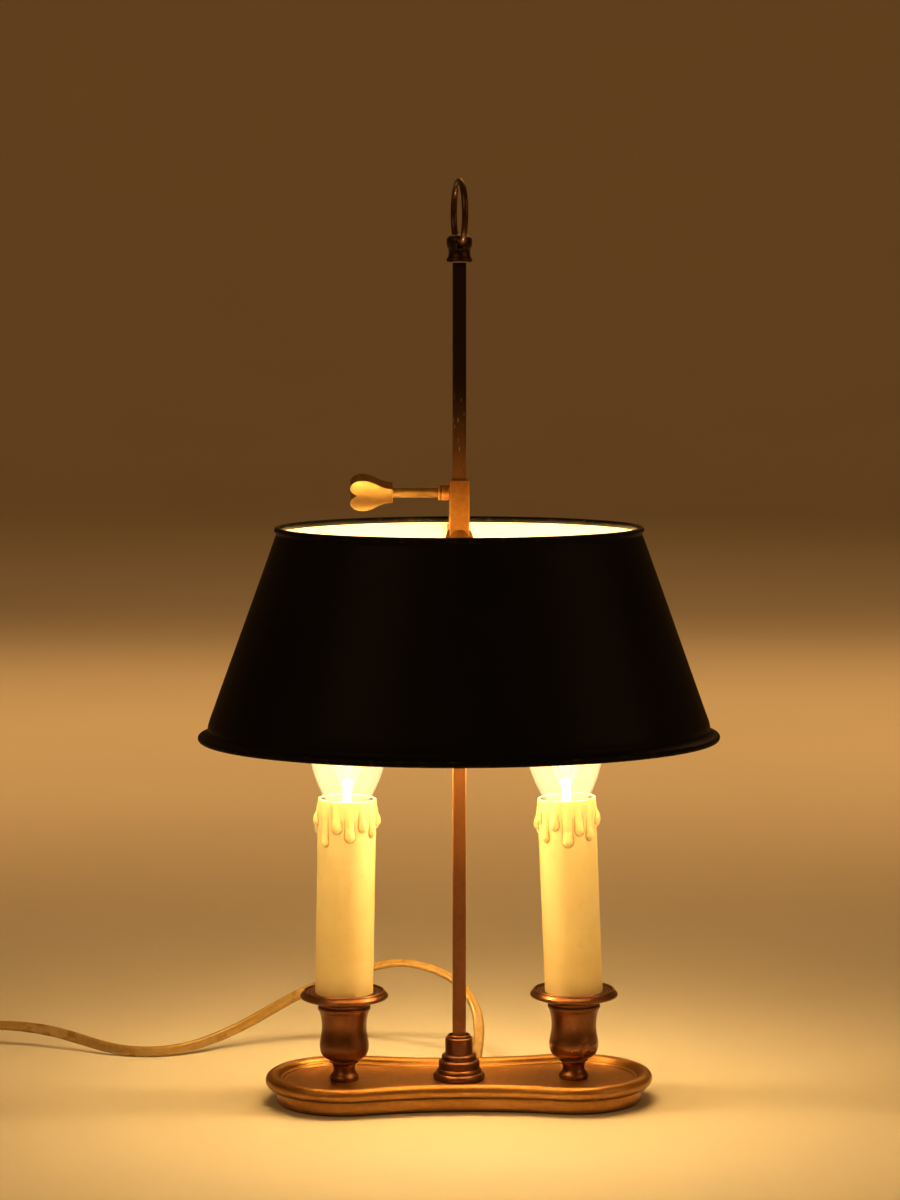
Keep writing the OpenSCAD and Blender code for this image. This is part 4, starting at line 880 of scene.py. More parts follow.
def candle_cover(side, sx):
    n = 384 if FINE else 192
    step = 0.26 if FINE else 0.5
    zs = np.concatenate([np.linspace(50.9, 117, 26), np.arange(117.3, CAND_TOP - 0.5, step)])
    th = np.linspace(0, 360, n, endpoint=False)
    zz, tt = np.meshgrid(zs, th, indexing="ij")
    h = np.zeros_like(zz)
    phase = 0.0 if side == "left" else 2.1
    # the wax that ran over the rim: a collar whose lower edge hangs in shallow scallops
    low = CAND_TOP - 7.6 + 1.2 * np.sin(np.radians(tt * 5 + 40 * phase)) + 0.8 * np.sin(np.radians(tt * 11 + 70 * phase))
    flute = 0.13 * np.sin(np.radians(tt * 13 + 50 * phase)) + 0.07 * np.sin(np.radians(tt * 22 + 10 * phase))
    h = (0.42 + flute) / (1 + np.exp(-(zz - low) / 0.7))
    for ang, length, r in DRIPS[side]:
        lean = 0.06 * math.sin(ang * 0.7 + phase)
        zc = CAND_TOP - length + r
        u = zz - zc
        top_u = CAND_TOP - zc
        s = np.radians((tt - ang + 180) % 360 - 180) * (CAND_R + 0.8) - lean * np.clip(u, 0, None)
        # a teardrop at the end, fullest low down
        uu = np.where(u < 0, u / (r * 1.0), u / (r * 2.3))
        tall = 1.02 * r
        end = tall * np.clip(1 - (s / r) ** 2 - uu ** 2, 0, None) ** 0.55
        # the run above it, nearly as wide, thinning up to the rim
        f = np.clip(u / max(top_u, 1e-6), 0, 1)
        w = r * (0.92 + 0.10 * f)
        run = (0.62 * tall * (1 - f) ** 1.1 + 0.34) * np.clip(1 - (s / w) ** 2, 0, None) ** 0.7 * (u >= -0.1 * r)
        h = np.maximum(h, np.maximum(end, run))
    h = blur(h, 1.1 if FINE else 0.7)
    # the collar thins towards the rim's edge
    h *= 1 - 0.45 * np.clip((zz - (CAND_TOP - 2.2)) / 2.2, 0, 1) ** 2
    body = 0.05 * np.sin(np.radians(tt * 2 + 30)) * np.sin(zz / 9.0 + phase) + 0.035 * np.sin(np.radians(tt * 5)) * np.sin(zz / 3.7)
    rad = CAND_R - 0.05 + body + h - 0.42 * np.clip((zz - (CAND_TOP - 9)) / 9, 0, 1)
    wax = np.clip(h / 0.35, 0, 1)
    rows = [(np.full(n, 12.1), np.full(n, 50.0), np.zeros(n)), (rad[0] - 0.4, np.full(n, 50.0), np.zeros(n))]
    rows += [(rad[i], np.full(n, zs[i]) + (0.35 if i == 0 else 0), wax[i]) for i in range(len(zs))]
    top_r = rad[-1]
    for k in range(1, 9):
        a = 90 * k / 8
        rows.append((top_r - 0.75 * (1 - cosd(a)), np.full(n, zs[-1] + 0.55 * sind(a)) + 0.05 * np.sin(np.radians(th * 7)), np.ones(n)))
    inner = 12.1
    rows.append((np.full(n, inner + 0.25) + 0.1 * np.sin(np.radians(th * 9)), np.full(n, CAND_TOP - 0.10), np.ones(n)))
    rows.append((np.full(n, inner + 0.06), np.full(n, CAND_TOP - 0.35), np.ones(n)))
    for z in (CAND_TOP - 1.0, CAND_TOP - 3, CAND_TOP - 7, 131.0, 120.0, 90.0):
        rows.append((np.full(n, inner), np.full(n, z), np.zeros(n)))
    verts, attr = [], []
    ct, st = np.cos(np.radians(th)), np.sin(np.radians(th))
    for r, z, wv in rows:
        verts += list(zip(sx * CX + r * ct, r * st, z))
        attr += list(wv)
    m = leaning(side, sx)
    leant = [m @ Vector((float(x) * MM, float(y) * MM, float(z) * MM)) / MM for x, y, z in verts]
    # the foot is cut level where it stands on the pan
    verts = [(q.x, q.y, max(q.z, WELL_Z + 0.02)) for q in leant]
    o = build("candle_sleeve_" + side, verts, grid_faces(len(rows), n, close_rows=True), 55)
    a = o.data.attributes.new("wax", "FLOAT", "POINT")
    a.data.foreach_set("value", np.array(attr, np.float32)[:len(o.data.vertices)])
    a = o.data.attributes.new("inside", "FLOAT", "POINT")
    ins = np.zeros(len(rows) * n, np.float32)
    ins[(len(rows) - 7) * n:] = 1.0
    ins[:n] = 1.0
    a.data.foreach_set("value", ins[:len(o.data.vertices)])
    finish_piece(o, "ivory_resin", "base", ["candle_cover_" + side], "ivory_resin", True, low=0.3, high=1.5, passes=3)
    return o


for side, sx in (("left", -1), ("right", 1)):
    candle_cover(side, sx)


# ------------------------------------------------------------------ bulbs

bulb_out = [(6.75, 131.2), (6.9, 133), (8.1, 136.5), (9.7, 139.8), (11.4, 143), (13.2, 146.8), (14.9, 151), (16.3, 155.5),
            (17.2, 160), (17.5, 164.3), (17.25, 168.6), (16.5, 173), (15.3, 177.4), (13.6, 181.8), (11.5, 186.2),
            (9.2, 190.4), (6.9, 194.4), (4.8, 198.2), (3, 201.6), (1.6, 204.2), (0.6, 205.6), (0, 206)]
outer = catmull(bulb_out, 3)
inner = []
for i, q in enumerate(outer):
    a, b = outer[max(i - 1, 0)], outer[min(i + 1, len(outer) - 1)]
    t = (b - a) / max(np.linalg.norm(b - a), 1e-9)
    nrm = np.array([-t[1], t[0]])
    inner.append(np.array([max(0.0, q[0] + 0.45 * nrm[0]), q[1] + 0.45 * nrm[1]]) if i < len(outer) - 1 else np.array([0.0, q[1] - 0.5]))
for side, sx in (("left", -1), ("right", 1)):
    prof = [tuple(q) for q in outer] + [tuple(q) for q in inner[::-1] if q[1] < 205.4]
    prof = [(r if r > 0.02 else 0.0, z) for r, z in prof]
    # drop doubled points on the axis
    clean = []
    for q in prof:
        if clean and abs(clean[-1][0] - q[0]) < 1e-6 and abs(clean[-1][1] - q[1]) < 1e-6:
            continue
        clean.append(q)
    verts, rings, faces, segs = [], [], [], 96
    for r, z in clean:
        if r == 0.0:
            rings.append([len(verts)])
            verts.append((sx * CX, 0, z))
        else:
            rings.append(list(range(len(verts), len(verts) + segs)))
            verts += [(sx * CX + r * math.cos(2 * math.pi * k / segs), r * math.sin(2 * math.pi * k / segs), z) for k in range(segs)]
    for i in range(len(rings)):
        a, b = rings[i], rings[(i + 1) % len(rings)]
        for k in range(segs):
            k2 = (k + 1) % segs
            if len(a) == 1 and len(b) == 1:
                break
            if len(a) == 1:
                faces.append((a[0], b[k2], b[k]))
            elif len(b) == 1:
                faces.append((a[k], a[k2], b[0]))
            else:
                faces.append((a[k], a[k2], b[k2], b[k]))
    glass = build("bulb_envelope_" + side, verts, faces, 80)
    moved(glass, leaning(side, sx))
    glass.visible_shadow = False
    finish_piece(glass, "clear_glass", "base", ["bulb_glass_" + side], "clear_glass")

    # glass stem with its flare and press, support wires, and the filament zigzagging between them
    stem = lathe("stem_" + side, [(0, 131.4), (5.2, 131.4), (5.3, 131.8), (4.2, 133.2), (3.3, 135.5), (2.6, 138.2), (2.1, 141), (1.85, 144),
                                  (1.95, 146.5), (2.3, 148.4), (2.15, 149.6), (1.2, 150.4), (0, 150.6)], 40, at=(sx * CX, 0), fillet=0.1)
    for v in stem.data.vertices:
        f = min(1.0, max(0.0, (v.co.z / MM - 141) / 6))
        v.co.y *= 1 - 0.55 * f
    moved(stem, leaning(side, sx))
    stem.visible_shadow = False
    finish_piece(stem, "stem_glass", "base", (), "clear_glass")

    def off(points):
        return [(sx * CX + x, y, z) for x, y, z in points]

    wires = [tube("w0", catmull(off([(-0.8, 0, 140), (-0.95, 0, 149), (-1.6, 0, 152), (-3.4, 0, 157), (-3.6, 0, 168.5), (-3.2, 0, 170.2)]), 5), 0.2, 8),
             tube("w1", catmull(off([(0.8, 0, 140), (0.95, 0, 149), (1.6, 0, 152), (3.4, 0, 157), (3.6, 0, 168.5), (3.2, 0, 170.2)]), 5), 0.2, 8),
             tube("w2", catmull(off([(-0.2, 0.3, 149), (-0.6, 0.5, 154), (-1.1, 0.4, 158.6)]), 4), 0.12, 6),
             tube("w3", catmull(off([(0.2, -0.3, 149), (0.6, -0.5, 154), (1.1, -0.4, 158.6)]), 4), 0.12, 6)]
    w = moved(join("filament_supports_" + side, wires), leaning(side, sx))
    w.visible_shadow = False
    finish_piece(w, "support_wire", "base", (), "cap_metal")
    zig = catmull(off([(-3.3, 0, 170), (-2.6, 0.1, 165.5), (-1.8, 0.25, 161), (-1.1, 0.4, 158.8), (-0.5, 0.1, 163.5), (0, 0, 168.5),
                       (0.5, -0.1, 163.5), (1.1, -0.4, 158.8), (1.8, -0.25, 161), (2.6, -0.1, 165.5), (3.3, 0, 170)]), 10)
    fil = moved(tube("filament_wire_" + side, zig, 0.34, 8), leaning(side, sx))
    fil.visible_shadow = False
    finish_piece(fil, "glow", "base", ["filament_" + side], "filament")


# ------------------------------------------------------------------ finial

cap = lathe("finial_turned", [(0, 386), (5.5, 386), (5.85, 386.4), (5.9, 387), (5.75, 387.7), (5.3, 388.4), (4.98, 389.5), (4.9, 390.6), (5.02, 391.6),
                              (5.4, 392.6), (5.7, 393.9), (5.83, 395.3), (5.8, 396.3), (5.4, 397.2), (4.5, 397.9), (3, 398.4), (1.4, 398.7), (0, 398.75)],
            96, fillet=0.12)
cutter = tube("cutter", [(0, -20, 394.1), (0, -10, 394.1), (0, 0, 394.1), (0, 10, 394.1), (0, 20, 394.1)], 2.3, 40)
cap = boolean(cap, cutter)
mark(cap.data, 40)
moved(cap, Matrix.Rotation(math.radians(8), 4, "Z"))
finish_piece(cap, "finial_brass", "base", ["finial_cap"], "dark_brass", True)

RR, RW = 14.55, 1.45
verts = []
for i in range(144):
    a = 2 * math.pi * i / 144
    for k in range(24):
        b = 2 * math.pi * k / 24
        rr = RR + RW * math.cos(b)
        verts.append((RW * math.sin(b), rr * math.cos(a), 394.1 - 0.62 + RR + rr * math.sin(a)))
ring = build("finial_loop", verts, grid_faces(144, 24, close_rows=True), 60)
moved(ring, Matrix.Rotation(math.radians(8), 4, "Z"))
finish_piece(ring, "ring_brass", "ring", ["finial_ring"], "dark_brass", True)


# ------------------------------------------------------------------ shade

A_TOP, A_LOW, RATIO, Z_LOW, Z_HIGH, T = 84.3, 119.6, 0.75, 169.9, 264.9, 0.8
SLOPE = (A_LOW - 5.2 - (A_TOP - 1.8)) / (Z_HIGH - 0.4 - (Z_LOW + 6.3))


def sheet(z):
    return A_TOP - 1.8 + (Z_HIGH - 0.4 - z) * SLOPE


out_side = ([(sheet(Z_LOW + 3.4) - 0.3, Z_LOW + 3.4), (sheet(Z_LOW + 5) + 0.12, Z_LOW + 5), (sheet(Z_LOW + 7.4) + T / 2, Z_LOW + 7.4)]
            + [(sheet(Z_LOW + h) + T / 2, Z_LOW + h) for h in (12, 20, 30, 40, 50, 60, 70, 80, 88, 91.5, 93)])
in_side = ([(sheet(Z_HIGH - 2.0) - T / 2, Z_HIGH - 2.0), (sheet(Z_HIGH - 3.5) - T / 2, Z_HIGH - 3.5)]
           + [(sheet(Z_LOW + h) - T / 2, Z_LOW + h) for h in (88, 80, 70, 60, 50, 40, 30, 20, 12, 7)]
           + [(sheet(Z_LOW + 4.4) - 0.7, Z_LOW + 4.4), (sheet(Z_LOW + 2.4) - 1.1, Z_LOW + 2.4)])
section = (arc(A_LOW - 1.5, Z_LOW, 1.5, 200, 440, 18) + out_side + arc(A_TOP - 1.4, Z_HIGH, 1.4, -50, 230, 20) + in_side)
section = [q if len(q) == 2 else tuple(q) for q in section]
section = [tuple(q) for q in catmull(section, 2, True)]


def shade_side(a, b):
    """1 on the inner face of the sheet, where the section runs downwards, and 0 elsewhere."""
    q = (np.array(a) + np.array(b)) / 2
    return 1 if (b[1] < a[1] and q[0] < sheet(q[1]) - 0.05 and Z_LOW + 2.0 < q[1] < Z_HIGH - 1.5) else 0


n_seg = 256 if FINE else 128
verts = []
for a, z in section:
    for k in range(n_seg):
        w = 2 * math.pi * k / n_seg
        # hand-raised sheet: it is a little out of true
        wob = 0.10 * math.sin(3 * w + 0.4) * math.sin((z - Z_LOW) / 30.0) + 0.07 * math.sin(7 * w + z / 17.0)
        wob *= 1.0 if Z_LOW + 8 < z < Z_HIGH - 4 else 0.0
        verts.append(((a + wob) * math.cos(w), RATIO * (a + wob) * math.sin(w), z))
faces = grid_faces(len(section), n_seg, close_rows=True)
mats = []
for i in range(len(section)):
    mats += [shade_side(section[i], section[(i + 1) % len(section)])] * n_seg
shade = build("oval_shade", verts, faces, 60, mats)
finish_piece(shade, ["black_tole", "cream_enamel"], "shade", ["shade_shell"], "black_tole", True, low=0.12, high=0.6)

# spider: hub, four arms and their tabs
SZ = 256.7
hub = lathe("hub", [(6.1, SZ), (10.9, SZ), (11, SZ + 0.2), (11, SZ + 1.3), (10.9, SZ + 1.5), (6.1, SZ + 1.5)], 72, fillet=0.15, closed=True)
parts = [hub]
for q in range(4):
    f = 1.0 if q % 2 == 0 else RATIO
    reach = f * (sheet(SZ) - T / 2 - 0.35)
    lean = math.degrees(math.atan(SLOPE * f))
    rz = Matrix.Rotation(math.radians(90 * q), 3, "Z")
    a = rbox("arm", (reach - 6.2 - 4, 7, 1.5), (0, 0, 0), None, 0.35, 3)
    moved(a, Matrix.Rotation(math.radians(90 * q), 4, "Z") @ Matrix.Translation(Vector(((4.5 + reach - 1.2 + 4) / 2 * MM, 0, (SZ + 0.75) * MM))))
    b = rbox("tab", (1.1, 7, 6.2), (0.6, 0, 3.0), None, 0.3, 3)
    moved(b, Matrix.Rotation(math.radians(90 * q), 4, "Z") @ Matrix.Translation(Vector(((reach - 1.3) * MM, 0, SZ * MM))) @ Matrix.Rotation(math.radians(-lean), 4, "Y"))
    # a flattened rivet head in each tab
    c = lathe("rivet", [(0, 0), (1.5, 0), (1.45, 0.35), (1.0, 0.65), (0, 0.75)], 24, fillet=0.08)
    moved(c, Matrix.Rotation(math.radians(90 * q), 4, "Z") @ Matrix.Translation(Vector(((reach - 1.25) * MM, 0, SZ * MM)))
          @ Matrix.Rotation(math.radians(-lean), 4, "Y") @ Matrix.Translation(Vector((0.08 * MM, 0, 4.0 * MM))) @ Matrix.Rotation(math.radians(-90), 4, "Y"))
    parts += [a, b, c]
spider = join("spider_arms", parts)
finish_piece(spider, "dark_brass", "shade", ["shade_spider"], "dark_brass", True)

# sliding sleeve with its turned foot
SW = 9.1
tube_part = sweep("sleeve_tube", lambda d: rounded_rect(SW / 2, SW / 2, 0.55, d, 4, pad=0.22),
                  [(1.28, 262), (0.6, 262), (0.0, 262.2), (0, 264), (0, 270), (0, 278), (0, 286.9), (0.06, 287.3), (0.22, 287.52), (0.5, 287.6), (0.95, 287.6), (1.15, 287.5), (1.26, 287.2), (1.28, 285), (1.28, 275)],
                  closed=True, angle=60)
foot = lathe("sleeve_foot", [(4.0, 258.27), (8.6, 258.25), (8.8, 258.8), (8.5, 259.5), (7.4, 260.0), (6.6, 261.0), (6.1, 262.3), (5.6, 263.7), (5.05, 264.7), (4.6, 264.95), (4.0, 264.9)],
             96, fillet=0.15, closed=True)
stem = lathe("sleeve_thread", [(4.55, 250.6), (5.8, 250.6)] + [(6.0 - 0.22 * (i % 2), 250.8 + 0.45 * i) for i in range(17)] + [(4.55, 258.4)], 72, fillet=0.03, sub=1, closed=True)
sleeve = join("sliding_sleeve", [tube_part, foot, stem])
finish_piece(sleeve, "sleeve_brass", "shade", ["shade_sleeve"], "dark_brass", True)

HZ = SZ - 0.05
nut = sweep("spider_nut", lambda d: [((9.24 - d) * cosd(60 * (i // 6) + w), (9.24 - d) * sind(60 * (i // 6) + w))
                                     for i in range(36) for w in ([-2.2, -1.1, -0.35, 0.35, 1.1, 2.2][i % 6],)],
            [(3.2, 252.4), (0.55, 252.4), (0.12, 252.65), (0, 253.1), (0, HZ - 0.5), (0.12, HZ - 0.15), (0.55, HZ), (3.2, HZ)], closed=True, angle=60)
finish_piece(nut, "dark_brass", "shade", ["sleeve_nut"], "dark_brass", True)

SCREW_Z = 282.0
along_screw = Matrix.Translation(Vector((0, 0, SCREW_Z * MM))) @ Matrix.Rotation(math.radians(-90), 4, "Y")
boss = lathe("boss", [(2.5, 4.57), (3.5, 4.57), (3.64, 4.75), (3.64, 7.85), (3.5, 8.1), (3.15, 8.15), (3.15, 8.5), (3.5, 8.55), (3.64, 8.75), (3.64, 9.4), (3.45, 9.65), (2.5, 9.65)],
             72, fillet=0.1, closed=True)
moved(boss, along_screw)
boss.name = "screw_boss_turned"
finish_piece(boss, "sleeve_brass", "shade", ["screw_boss"], "dark_brass", True)

# ------------------------------------------------------------------ thumb screw

KEY_TURN = 49
shank_r = 2.3
prof = [(0, 3.25), (1.6, 3.25), (1.7, 3.4), (1.75, 3.8)]
prof += [(2.3 - 0.26 * (i % 2), 4.1 + 0.4 * i) for i in range(12)]
prof += [(2.12, 9.3), (2.3, 9.6), (2.3, 20.0), (2.3, 30.0), (2.3, 31.2), (0, 31.2)]
shank = lathe("shank", prof, 72, fillet=0.06, sub=1)


def heart_outline():
    """Heart in its own plane: u runs outwards along the screw, v across. Starts at the neck."""
    right = [(0, -4.3), (0.7, -4.36), (1.8, -4.5), (3.4, -4.95), (5.2, -5.75), (7.0, -6.95), (8.8, -8.15), (10.6, -9.1), (12.4, -9.65), (14.2, -9.72), (16.0, -9.3),
             (17.5, -8.4), (18.6, -7.1), (19.15, -5.6), (19.2, -4.2), (18.85, -2.9), (18.1, -1.7), (17.2, -0.8), (16.5, -0.25)]
    left = [(u, -v) for u, v in right[::-1]]
    smooth_r = catmull(right[1:], 5)
    smooth_l = catmull(left[:-1], 5)
    return [np.array(right[0])] + smooth_r + smooth_l + [np.array(left[-1])]


HEART = heart_outline()


def heart_inset(d):
    pts, n = HEART, len(HEART)
    out = []
    for i in range(n):
        a, b = pts[i - 1], pts[(i + 1) % n]
        t = b - a
        t = t / max(np.linalg.norm(t), 1e-9)
        out.append(pts[i] + np.array([-t[1], t[0]]) * d)
    return out


def heart_solid():
    """The heart between its two flat faces, its edges just broken."""
    half, f = 2.45, 0.2
    sec = [(f * (1 - sind(a)), half - f * (1 - cosd(a))) for a in (90, 68, 45, 22, 0)] + [(f + 0.12, half), (f + 0.35, half), (f + 0.75, half)]
    sec = [(d, -w) for d, w in sec[::-1]] + [(0, -1.4), (0, 0), (0, 1.4)] + sec
    n = len(HEART)
    verts, faces = [], []
    for d, w in sec:
        verts += [(q[0], q[1], w) for q in heart_inset(d)]
    faces = grid_faces(len(sec), n)
    faces.append(tuple(range(n - 1, -1, -1)))
    faces.append(tuple((len(sec) - 1) * n + k for k in range(n)))
    mesh = bpy.data.meshes.new("heart")
    mesh.from_pydata([tuple(float(c) * MM for c in v) for v in verts], [], faces)
    bm = bmesh.new()
    bm.from_mesh(mesh)
    bmesh.ops.triangulate(bm, faces=[f for f in bm.faces if len(f.verts) > 4])
    bm.to_mesh(mesh)
    bm.free()
    mark(mesh, 50)
    return link("heart", mesh)


heart = heart_solid()
# heart plane: u along the screw (local z), v across; then turned about the screw's axis
to_screw = Matrix(((0, 1, 0, 0), (0, 0, 1, 0), (1, 0, 0, 0), (0, 0, 0, 1)))
moved(heart, Matrix.Rotation(math.radians(KEY_TURN - 90), 4, "Z") @ Matrix.Translation(Vector((0, 0, 30.35 * MM))) @ to_screw)
screw = join("heart_thumb_screw", [shank, heart])
moved(screw, along_screw)
finish_piece(screw, "key_brass", "screw", ["thumb_screw"], "aged_brass", True, passes=1)


# ------------------------------------------------------------------ strain relief

def loft(name, sections, angle=45):
    """Solid through outlines of equal length, each a list of (x, y, z)."""
    n = len(sections[0])
    verts = [p for s in sections for p in s]
    faces = grid_faces(len(sections), n)
    for s, rev in ((0, True), (len(sections) - 1, False)):
        base = s * n
        c = len(verts)
        verts.append(tuple(np.mean([sections[s][k] for k in range(n)], axis=0)))
        for k in range(n):
            k2 = (k + 1) % n
            faces.append((base + k2, base + k, c) if rev else (base + k, base + k2, c))
    return build(name, verts, faces, angle)


def stadium(w, h, n=40):
    """Outline of a slot w wide and h high."""
    r = h / 2
    pts = []
    for k in range(n):
        a = 2 * math.pi * k / n
        pts.append((math.copysign(w / 2 - r, math.cos(a)) * (1 if abs(math.cos(a)) > 1e-6 else 0) + r * math.cos(a), r * math.sin(a)))
    return pts


secs = []
for i in range(49):
    y = 24.9 + 21.1 * i / 48
    f = (y - 24.9) / 21.1
    w, h = 6.8 - 0.6 * f, 4.8 - 1.2 * f
    ribs = 0.22 * (0.5 - 0.5 * math.cos(2 * math.pi * (y - 27.2) / 2.9)) if 27.2 < y < 44.6 else 0.0
    w2, h2 = w - 2 * ribs, h - 2 * ribs
    if i in (0, 48):
        w2, h2 = w2 - 0.5, h2 - 0.5
    secs.append([(9.5 + x, y, 4.4 + z) for x, z in stadium(w2, h2)])
relief = loft("cord_strain_relief", secs)
finish_piece(relief, "gold_moulding", "base", ["strain_relief"], "gold_moulding", True)


# ------------------------------------------------------------------ in-line switch

SX, SY, SL, SWID, SH = -263.0, 56.0, 60.0, 25.0, 16.6


def sw_outline(d):
    return rounded_rect(SWID / 2, SL / 2, 8, d, 14, SX, SY, pad=0.5)


lower = sweep("switch_base", sw_outline,
              [(1.0, 0.02), (0.55, 0.12), (0.2, 0.42), (0.02, 1.0), (0, 2), (0, 5), (0, 7.55), (0.08, 7.85), (0.25, 8.05), (0.6, 8.12)], angle=50)
upper = sweep("switch_lid", sw_outline,
              [(0.6, 8.28), (0.25, 8.35), (0.08, 8.55), (0, 8.85), (0, 11), (0, 13.4), (0.12, 14.3), (0.45, 15.2), (1.0, 15.9), (1.7, 16.35), (2.5, 16.56), (3.2, 16.6)], angle=50)
well = rbox("well", (9.1, 17.7, 12), (SX, SY, 17.0), None, 0.6, 3)
upper = boolean(upper, well)
mark(upper.data, 42)
# the cord's mouths at both ends
for o in (lower, upper):
    for s in (-1, 1):
        mouth = loft("mouth", [[(SX + x, SY + s * 30 + yy, 8.2 + z) for x, z in stadium(5.6, 3.0)] for yy in (-3, 3)])
        boolean(o, mouth)
    mark(o.data, 42)
finish_piece(lower, "cream_plastic", "base", ["switch_bottom"], "cream_plastic", True)
finish_piece(upper, "cream_plastic", "base", ["switch_top"], "cream_plastic", True)
rk = []
prof = refine([(-7.6, 1.2), (-8.1, 2.4), (-8.25, 3.75), (-7.9, 4.0), (-5, 3.62), (-2.5, 3.38), (0, 3.3), (2.5, 3.38), (5, 3.62), (7.9, 4.0), (8.25, 3.75), (8.1, 2.4), (7.6, 1.2), (3, -2.3), (-3, -2.3)],
              0.35, 3, closed=True, corner=20)
cx0, cy0 = 0.0, 1.8
secs = []
for x, d in ((-4.2, 0.45), (-4.12, 0.2), (-3.9, 0.05), (-3.6, 0), (0, 0), (3.6, 0), (3.9, 0.05), (4.12, 0.2), (4.2, 0.45)):
    k = 1 - d / 4.0
    secs.append([(x, cx0 + (p[0] - cx0) * (1 - d / 8.2), cy0 + (p[1] - cy0) * (1 - d / 2.4)) for p in prof])
rk.append(loft("rocker_body", secs))
rk.append(tube("pivot", [(-6.5, 0, 0), (-4, 0, 0), (4, 0, 0), (6.5, 0, 0)], 0.98, 24))
# raised marks: a bar for on, a ring for off
rk.append(rbox("bar", (0.55, 2.6, 0.5), (0, 5.2, 3.72), Matrix.Rotation(math.radians(4.5), 3, "X"), 0.15, 2))
v2 = []
for i in range(40):
    a = 2 * math.pi * i / 40
    for k in range(8):
        b = 2 * math.pi * k / 8
        v2.append(((1.15 + 0.26 * math.cos(b)) * math.cos(a), -5.2 + (1.15 + 0.26 * math.cos(b)) * math.sin(a), 3.72 + 0.26 * math.sin(b)))
rk.append(build("zero", v2, grid_faces(40, 8, close_rows=True), 60))
rocker = join("rocker_key", rk)
moved(rocker, Matrix.Translation(Vector((SX * MM, SY * MM, 13.6 * MM))) @ Matrix.Rotation(math.radians(-9), 4, "X"))
finish_piece(rocker, "cream_plastic", "rocker", ["switch_rocker"], "cream_plastic", True)


# ------------------------------------------------------------------ plug

PX, PY, PZc = -321.5, 24.0, 6.9
secs = []
shape = [(0.0, 3.6, 2.3), (0.4, 4.0, 2.6), (3, 4.5, 3.1), (6, 5.3, 3.9), (9, 6.3, 4.8), (12, 7.4, 5.7), (13.6, 8.2, 6.2), (14.3, 11.0, 6.6), (15.0, 13.0, 6.8),
         (17, 13.7, 6.85), (22, 14.7, 6.85), (28, 15.9, 6.85), (33, 16.9, 6.85), (35.8, 17.4, 6.8), (36.3, 17.2, 6.6), (36.5, 16.6, 6.0)]
shape = [tuple(q) for q in catmull([np.array(q) for q in shape], 3)]
for y, hw, hh in shape:
    g = 0.35 * (0.5 - 0.5 * math.cos(2 * math.pi * (y - 18) / 2.6)) if 18 < y < 31 else 0.0
    pts = []
    for x, z in rounded_rect(hw, hh, min(hh * 0.72, hw * 0.6), 0, 9, pad=0.4):
        # grip ribs on the two narrow sides
        side = max(0.0, abs(x) - (hw - 3.2)) / 3.2
        pts.append((PX + x - math.copysign(g * side, x), PY + y, PZc + z))
    secs.append(pts)
plug = loft("plug_moulding", secs, 45)
finish_piece(plug, "gold_moulding", "base", ["plug_body"], "gold_moulding", True)
pins = []
for s in (-1, 1):
    p = lathe("pin", [(0, 25), (1.8, 25.05), (1.8, 36.5), (1.88, 36.65), (2.0, 36.8), (2.0, 53.4), (1.93, 54.0), (1.73, 54.5), (1.41, 54.91), (1.0, 55.23), (0.5, 55.44), (0, 55.5)], 48, fillet=0.05)
    moved(p, Matrix.Translation(Vector(((PX + 9.5 * s) * MM, PY * MM, PZc * MM))) @ Matrix.Rotation(math.radians(-90), 4, "X"))
    pins.append(p)
pins = join("plug_pin_pair", pins)
finish_piece(pins, "cap_metal", "base", ["plug_pins"], "cap_metal", True)


# ------------------------------------------------------------------ tie round the coil

TIE_A = 208.0
ca, sa = cosd(TIE_A), sind(TIE_A)
loop = rounded_rect(5.55, 5.62, 1.6, 0, 8, 26.475, 5.6, pad=0.4)
verts = []
half_w = 2.6
sec_pts = [(-half_w, -0.11), (-half_w + 0.2, -0.14), (half_w - 0.2, -0.14), (half_w, -0.11), (half_w, 0.11), (half_w - 0.2, 0.14), (-half_w + 0.2, 0.14), (-half_w, 0.11)]
n = len(loop)
for i in range(n):
    a, b = np.array(loop[i - 1]), np.array(loop[(i + 1) % n])
    t = (b - a) / max(np.linalg.norm(b - a), 1e-9)
    nr = np.array([t[1], -t[0]])
    for w, h in sec_pts:
        r, z = np.array(loop[i]) + nr * (h - 0.14)
        verts.append((COIL[0] + r * ca - w * sa, COIL[1] + r * sa + w * ca, max(0.03, z)))
tie = build("cord_tie", verts, grid_faces(n, len(sec_pts), close_rows=True), 40)
m = Nodes("tie band")
wv = m.noise(1800, 2, 0.5)
M["tie"] = m.set(color=m.ramp(wv, [(0.3, (0.02, 0.019, 0.018)), (0.7, (0.06, 0.057, 0.052))]), rough=0.8, normal=m.bump(wv, 0.4, 0.0003))
finish_piece(tie, "tie", "base")


# ------------------------------------------------------------------ the CAD nodes that stay: smooth shading where round

for name, o in nodes.items():
    if o.hide_render:
        continue
    for p in o.data.polygons:
        p.use_smooth = True
    wld = o.modifiers.new("weld", "WELD")
    wld.merge_threshold = 1e-6


# ------------------------------------------------------------------ stage and light

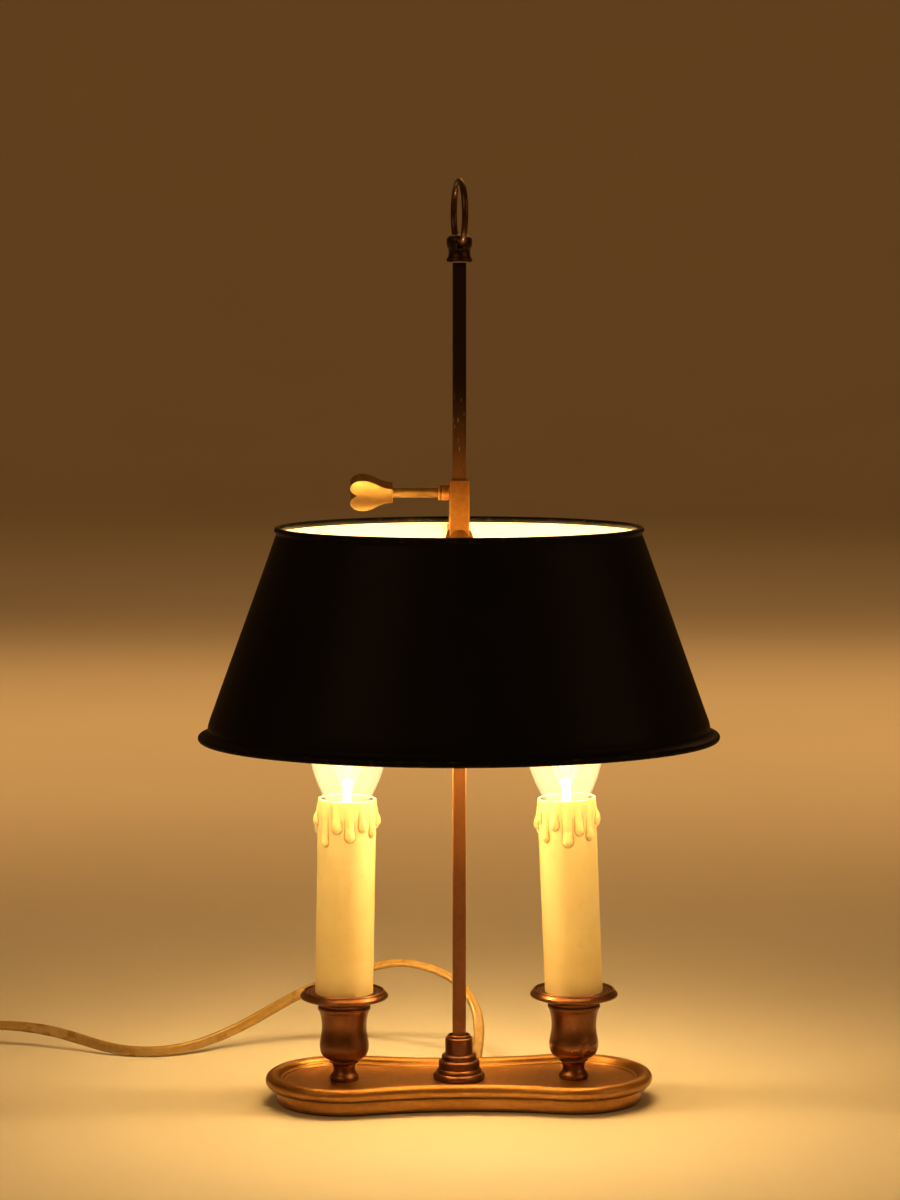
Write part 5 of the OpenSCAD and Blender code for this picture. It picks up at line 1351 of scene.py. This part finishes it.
def stage_bowl():
    verts, faces, segs = [(0, 0, 0)], [], 96
    prof = [(0.4, 0), (1.2, 0), (2.4, 0), (3.6, 0)] + [(3.6 + 2.6 * sind(a), 2.6 - 2.6 * cosd(a)) for a in range(6, 91, 6)] + [(6.2, 4.0), (6.2, 6.0)]
    for r, z in prof:
        verts += [(r * math.cos(2 * math.pi * k / segs), r * math.sin(2 * math.pi * k / segs), z) for k in range(segs)]
    for k in range(segs):
        faces.append((0, 1 + (k + 1) % segs, 1 + k))
    for i in range(len(prof) - 1):
        for k in range(segs):
            k2 = (k + 1) % segs
            faces.append((1 + i * segs + k, 1 + i * segs + k2, 1 + (i + 1) * segs + k2, 1 + (i + 1) * segs + k))
    mesh = bpy.data.meshes.new("floor")
    mesh.from_pydata(verts, [], faces)
    for p in mesh.polygons:
        p.use_smooth = True
    o = link("floor", mesh)
    m = Nodes("pale floor")
    c = m.ramp(m.noise(3, 3, 0.5), [(0.3, (0.70, 0.66, 0.58)), (0.7, (0.73, 0.69, 0.61))])
    mesh.materials.append(m.set(color=c, rough=0.72, spec=0.25, normal=m.bump(m.noise(240, 3, 0.6), 0.05, 0.0005)))
    return o


stage_bowl()

world = scene.world or bpy.data.worlds.new("world")
scene.world = world
world.use_nodes = True
bg = world.node_tree.nodes.get("Background")
bg.inputs["Color"].default_value = (1.0, 0.45, 0.13, 1.0)
bg.inputs["Strength"].default_value = 0.18


def area(name, loc, target, size, power, color, size_y=None):
    d = bpy.data.lights.new(name, "AREA")
    d.shape = "RECTANGLE"
    d.size, d.size_y = size, size_y or size
    d.energy, d.color = power, color
    o = bpy.data.objects.new(name, d)
    scene.collection.objects.link(o)
    o.location = loc
    o.rotation_euler = (Vector(target) - Vector(loc)).to_track_quat("-Z", "Y").to_euler()
    return o


area("key_soft", (-1.5, -1.7, 1.7), (0, 0, 0.2), 1.6, 10.0, (1.0, 0.56, 0.20))
area("fill_soft", (1.9, -1.1, 1.1), (0, 0, 0.2), 1.6, 6.5, (1.0, 0.56, 0.20))
area("back_soft", (0.5, 2.1, 1.9), (0, 0, 0.25), 1.6, 7.5, (1.0, 0.54, 0.19))
backdrop = area("backdrop_soft", (0, 1.2, 1.1), (0, 1.2, 0), 2.8, 5.5, (1.0, 0.52, 0.16), 1.1)
backdrop.data.spread = math.radians(60)
backdrop.visible_camera = False

for sx, p in ((-1, 0.72), (1, 0.88)):
    d = bpy.data.lights.new("bulb_glow", "POINT")
    d.energy, d.color, d.shadow_soft_size = p, (1.0, 0.63, 0.21), 0.016
    o = bpy.data.objects.new("bulb_glow", d)
    scene.collection.objects.link(o)
    o.location = leaning("left" if sx < 0 else "right", sx) @ Vector((sx * CX * MM, 0, 0.172))
    # the glow that goes up into the shade
    d = bpy.data.lights.new("bulb_glow_up", "SPOT")
    d.energy, d.color, d.shadow_soft_size = 0.3 * p, (1.0, 0.68, 0.28), 0.020
    d.spot_size, d.spot_blend = math.radians(165), 0.5
    o = bpy.data.objects.new("bulb_glow_up", d)
    scene.collection.objects.link(o)
    o.location = leaning("left" if sx < 0 else "right", sx) @ Vector((sx * CX * MM, 0, 0.178))
    o.rotation_euler = (math.pi, 0, 0)
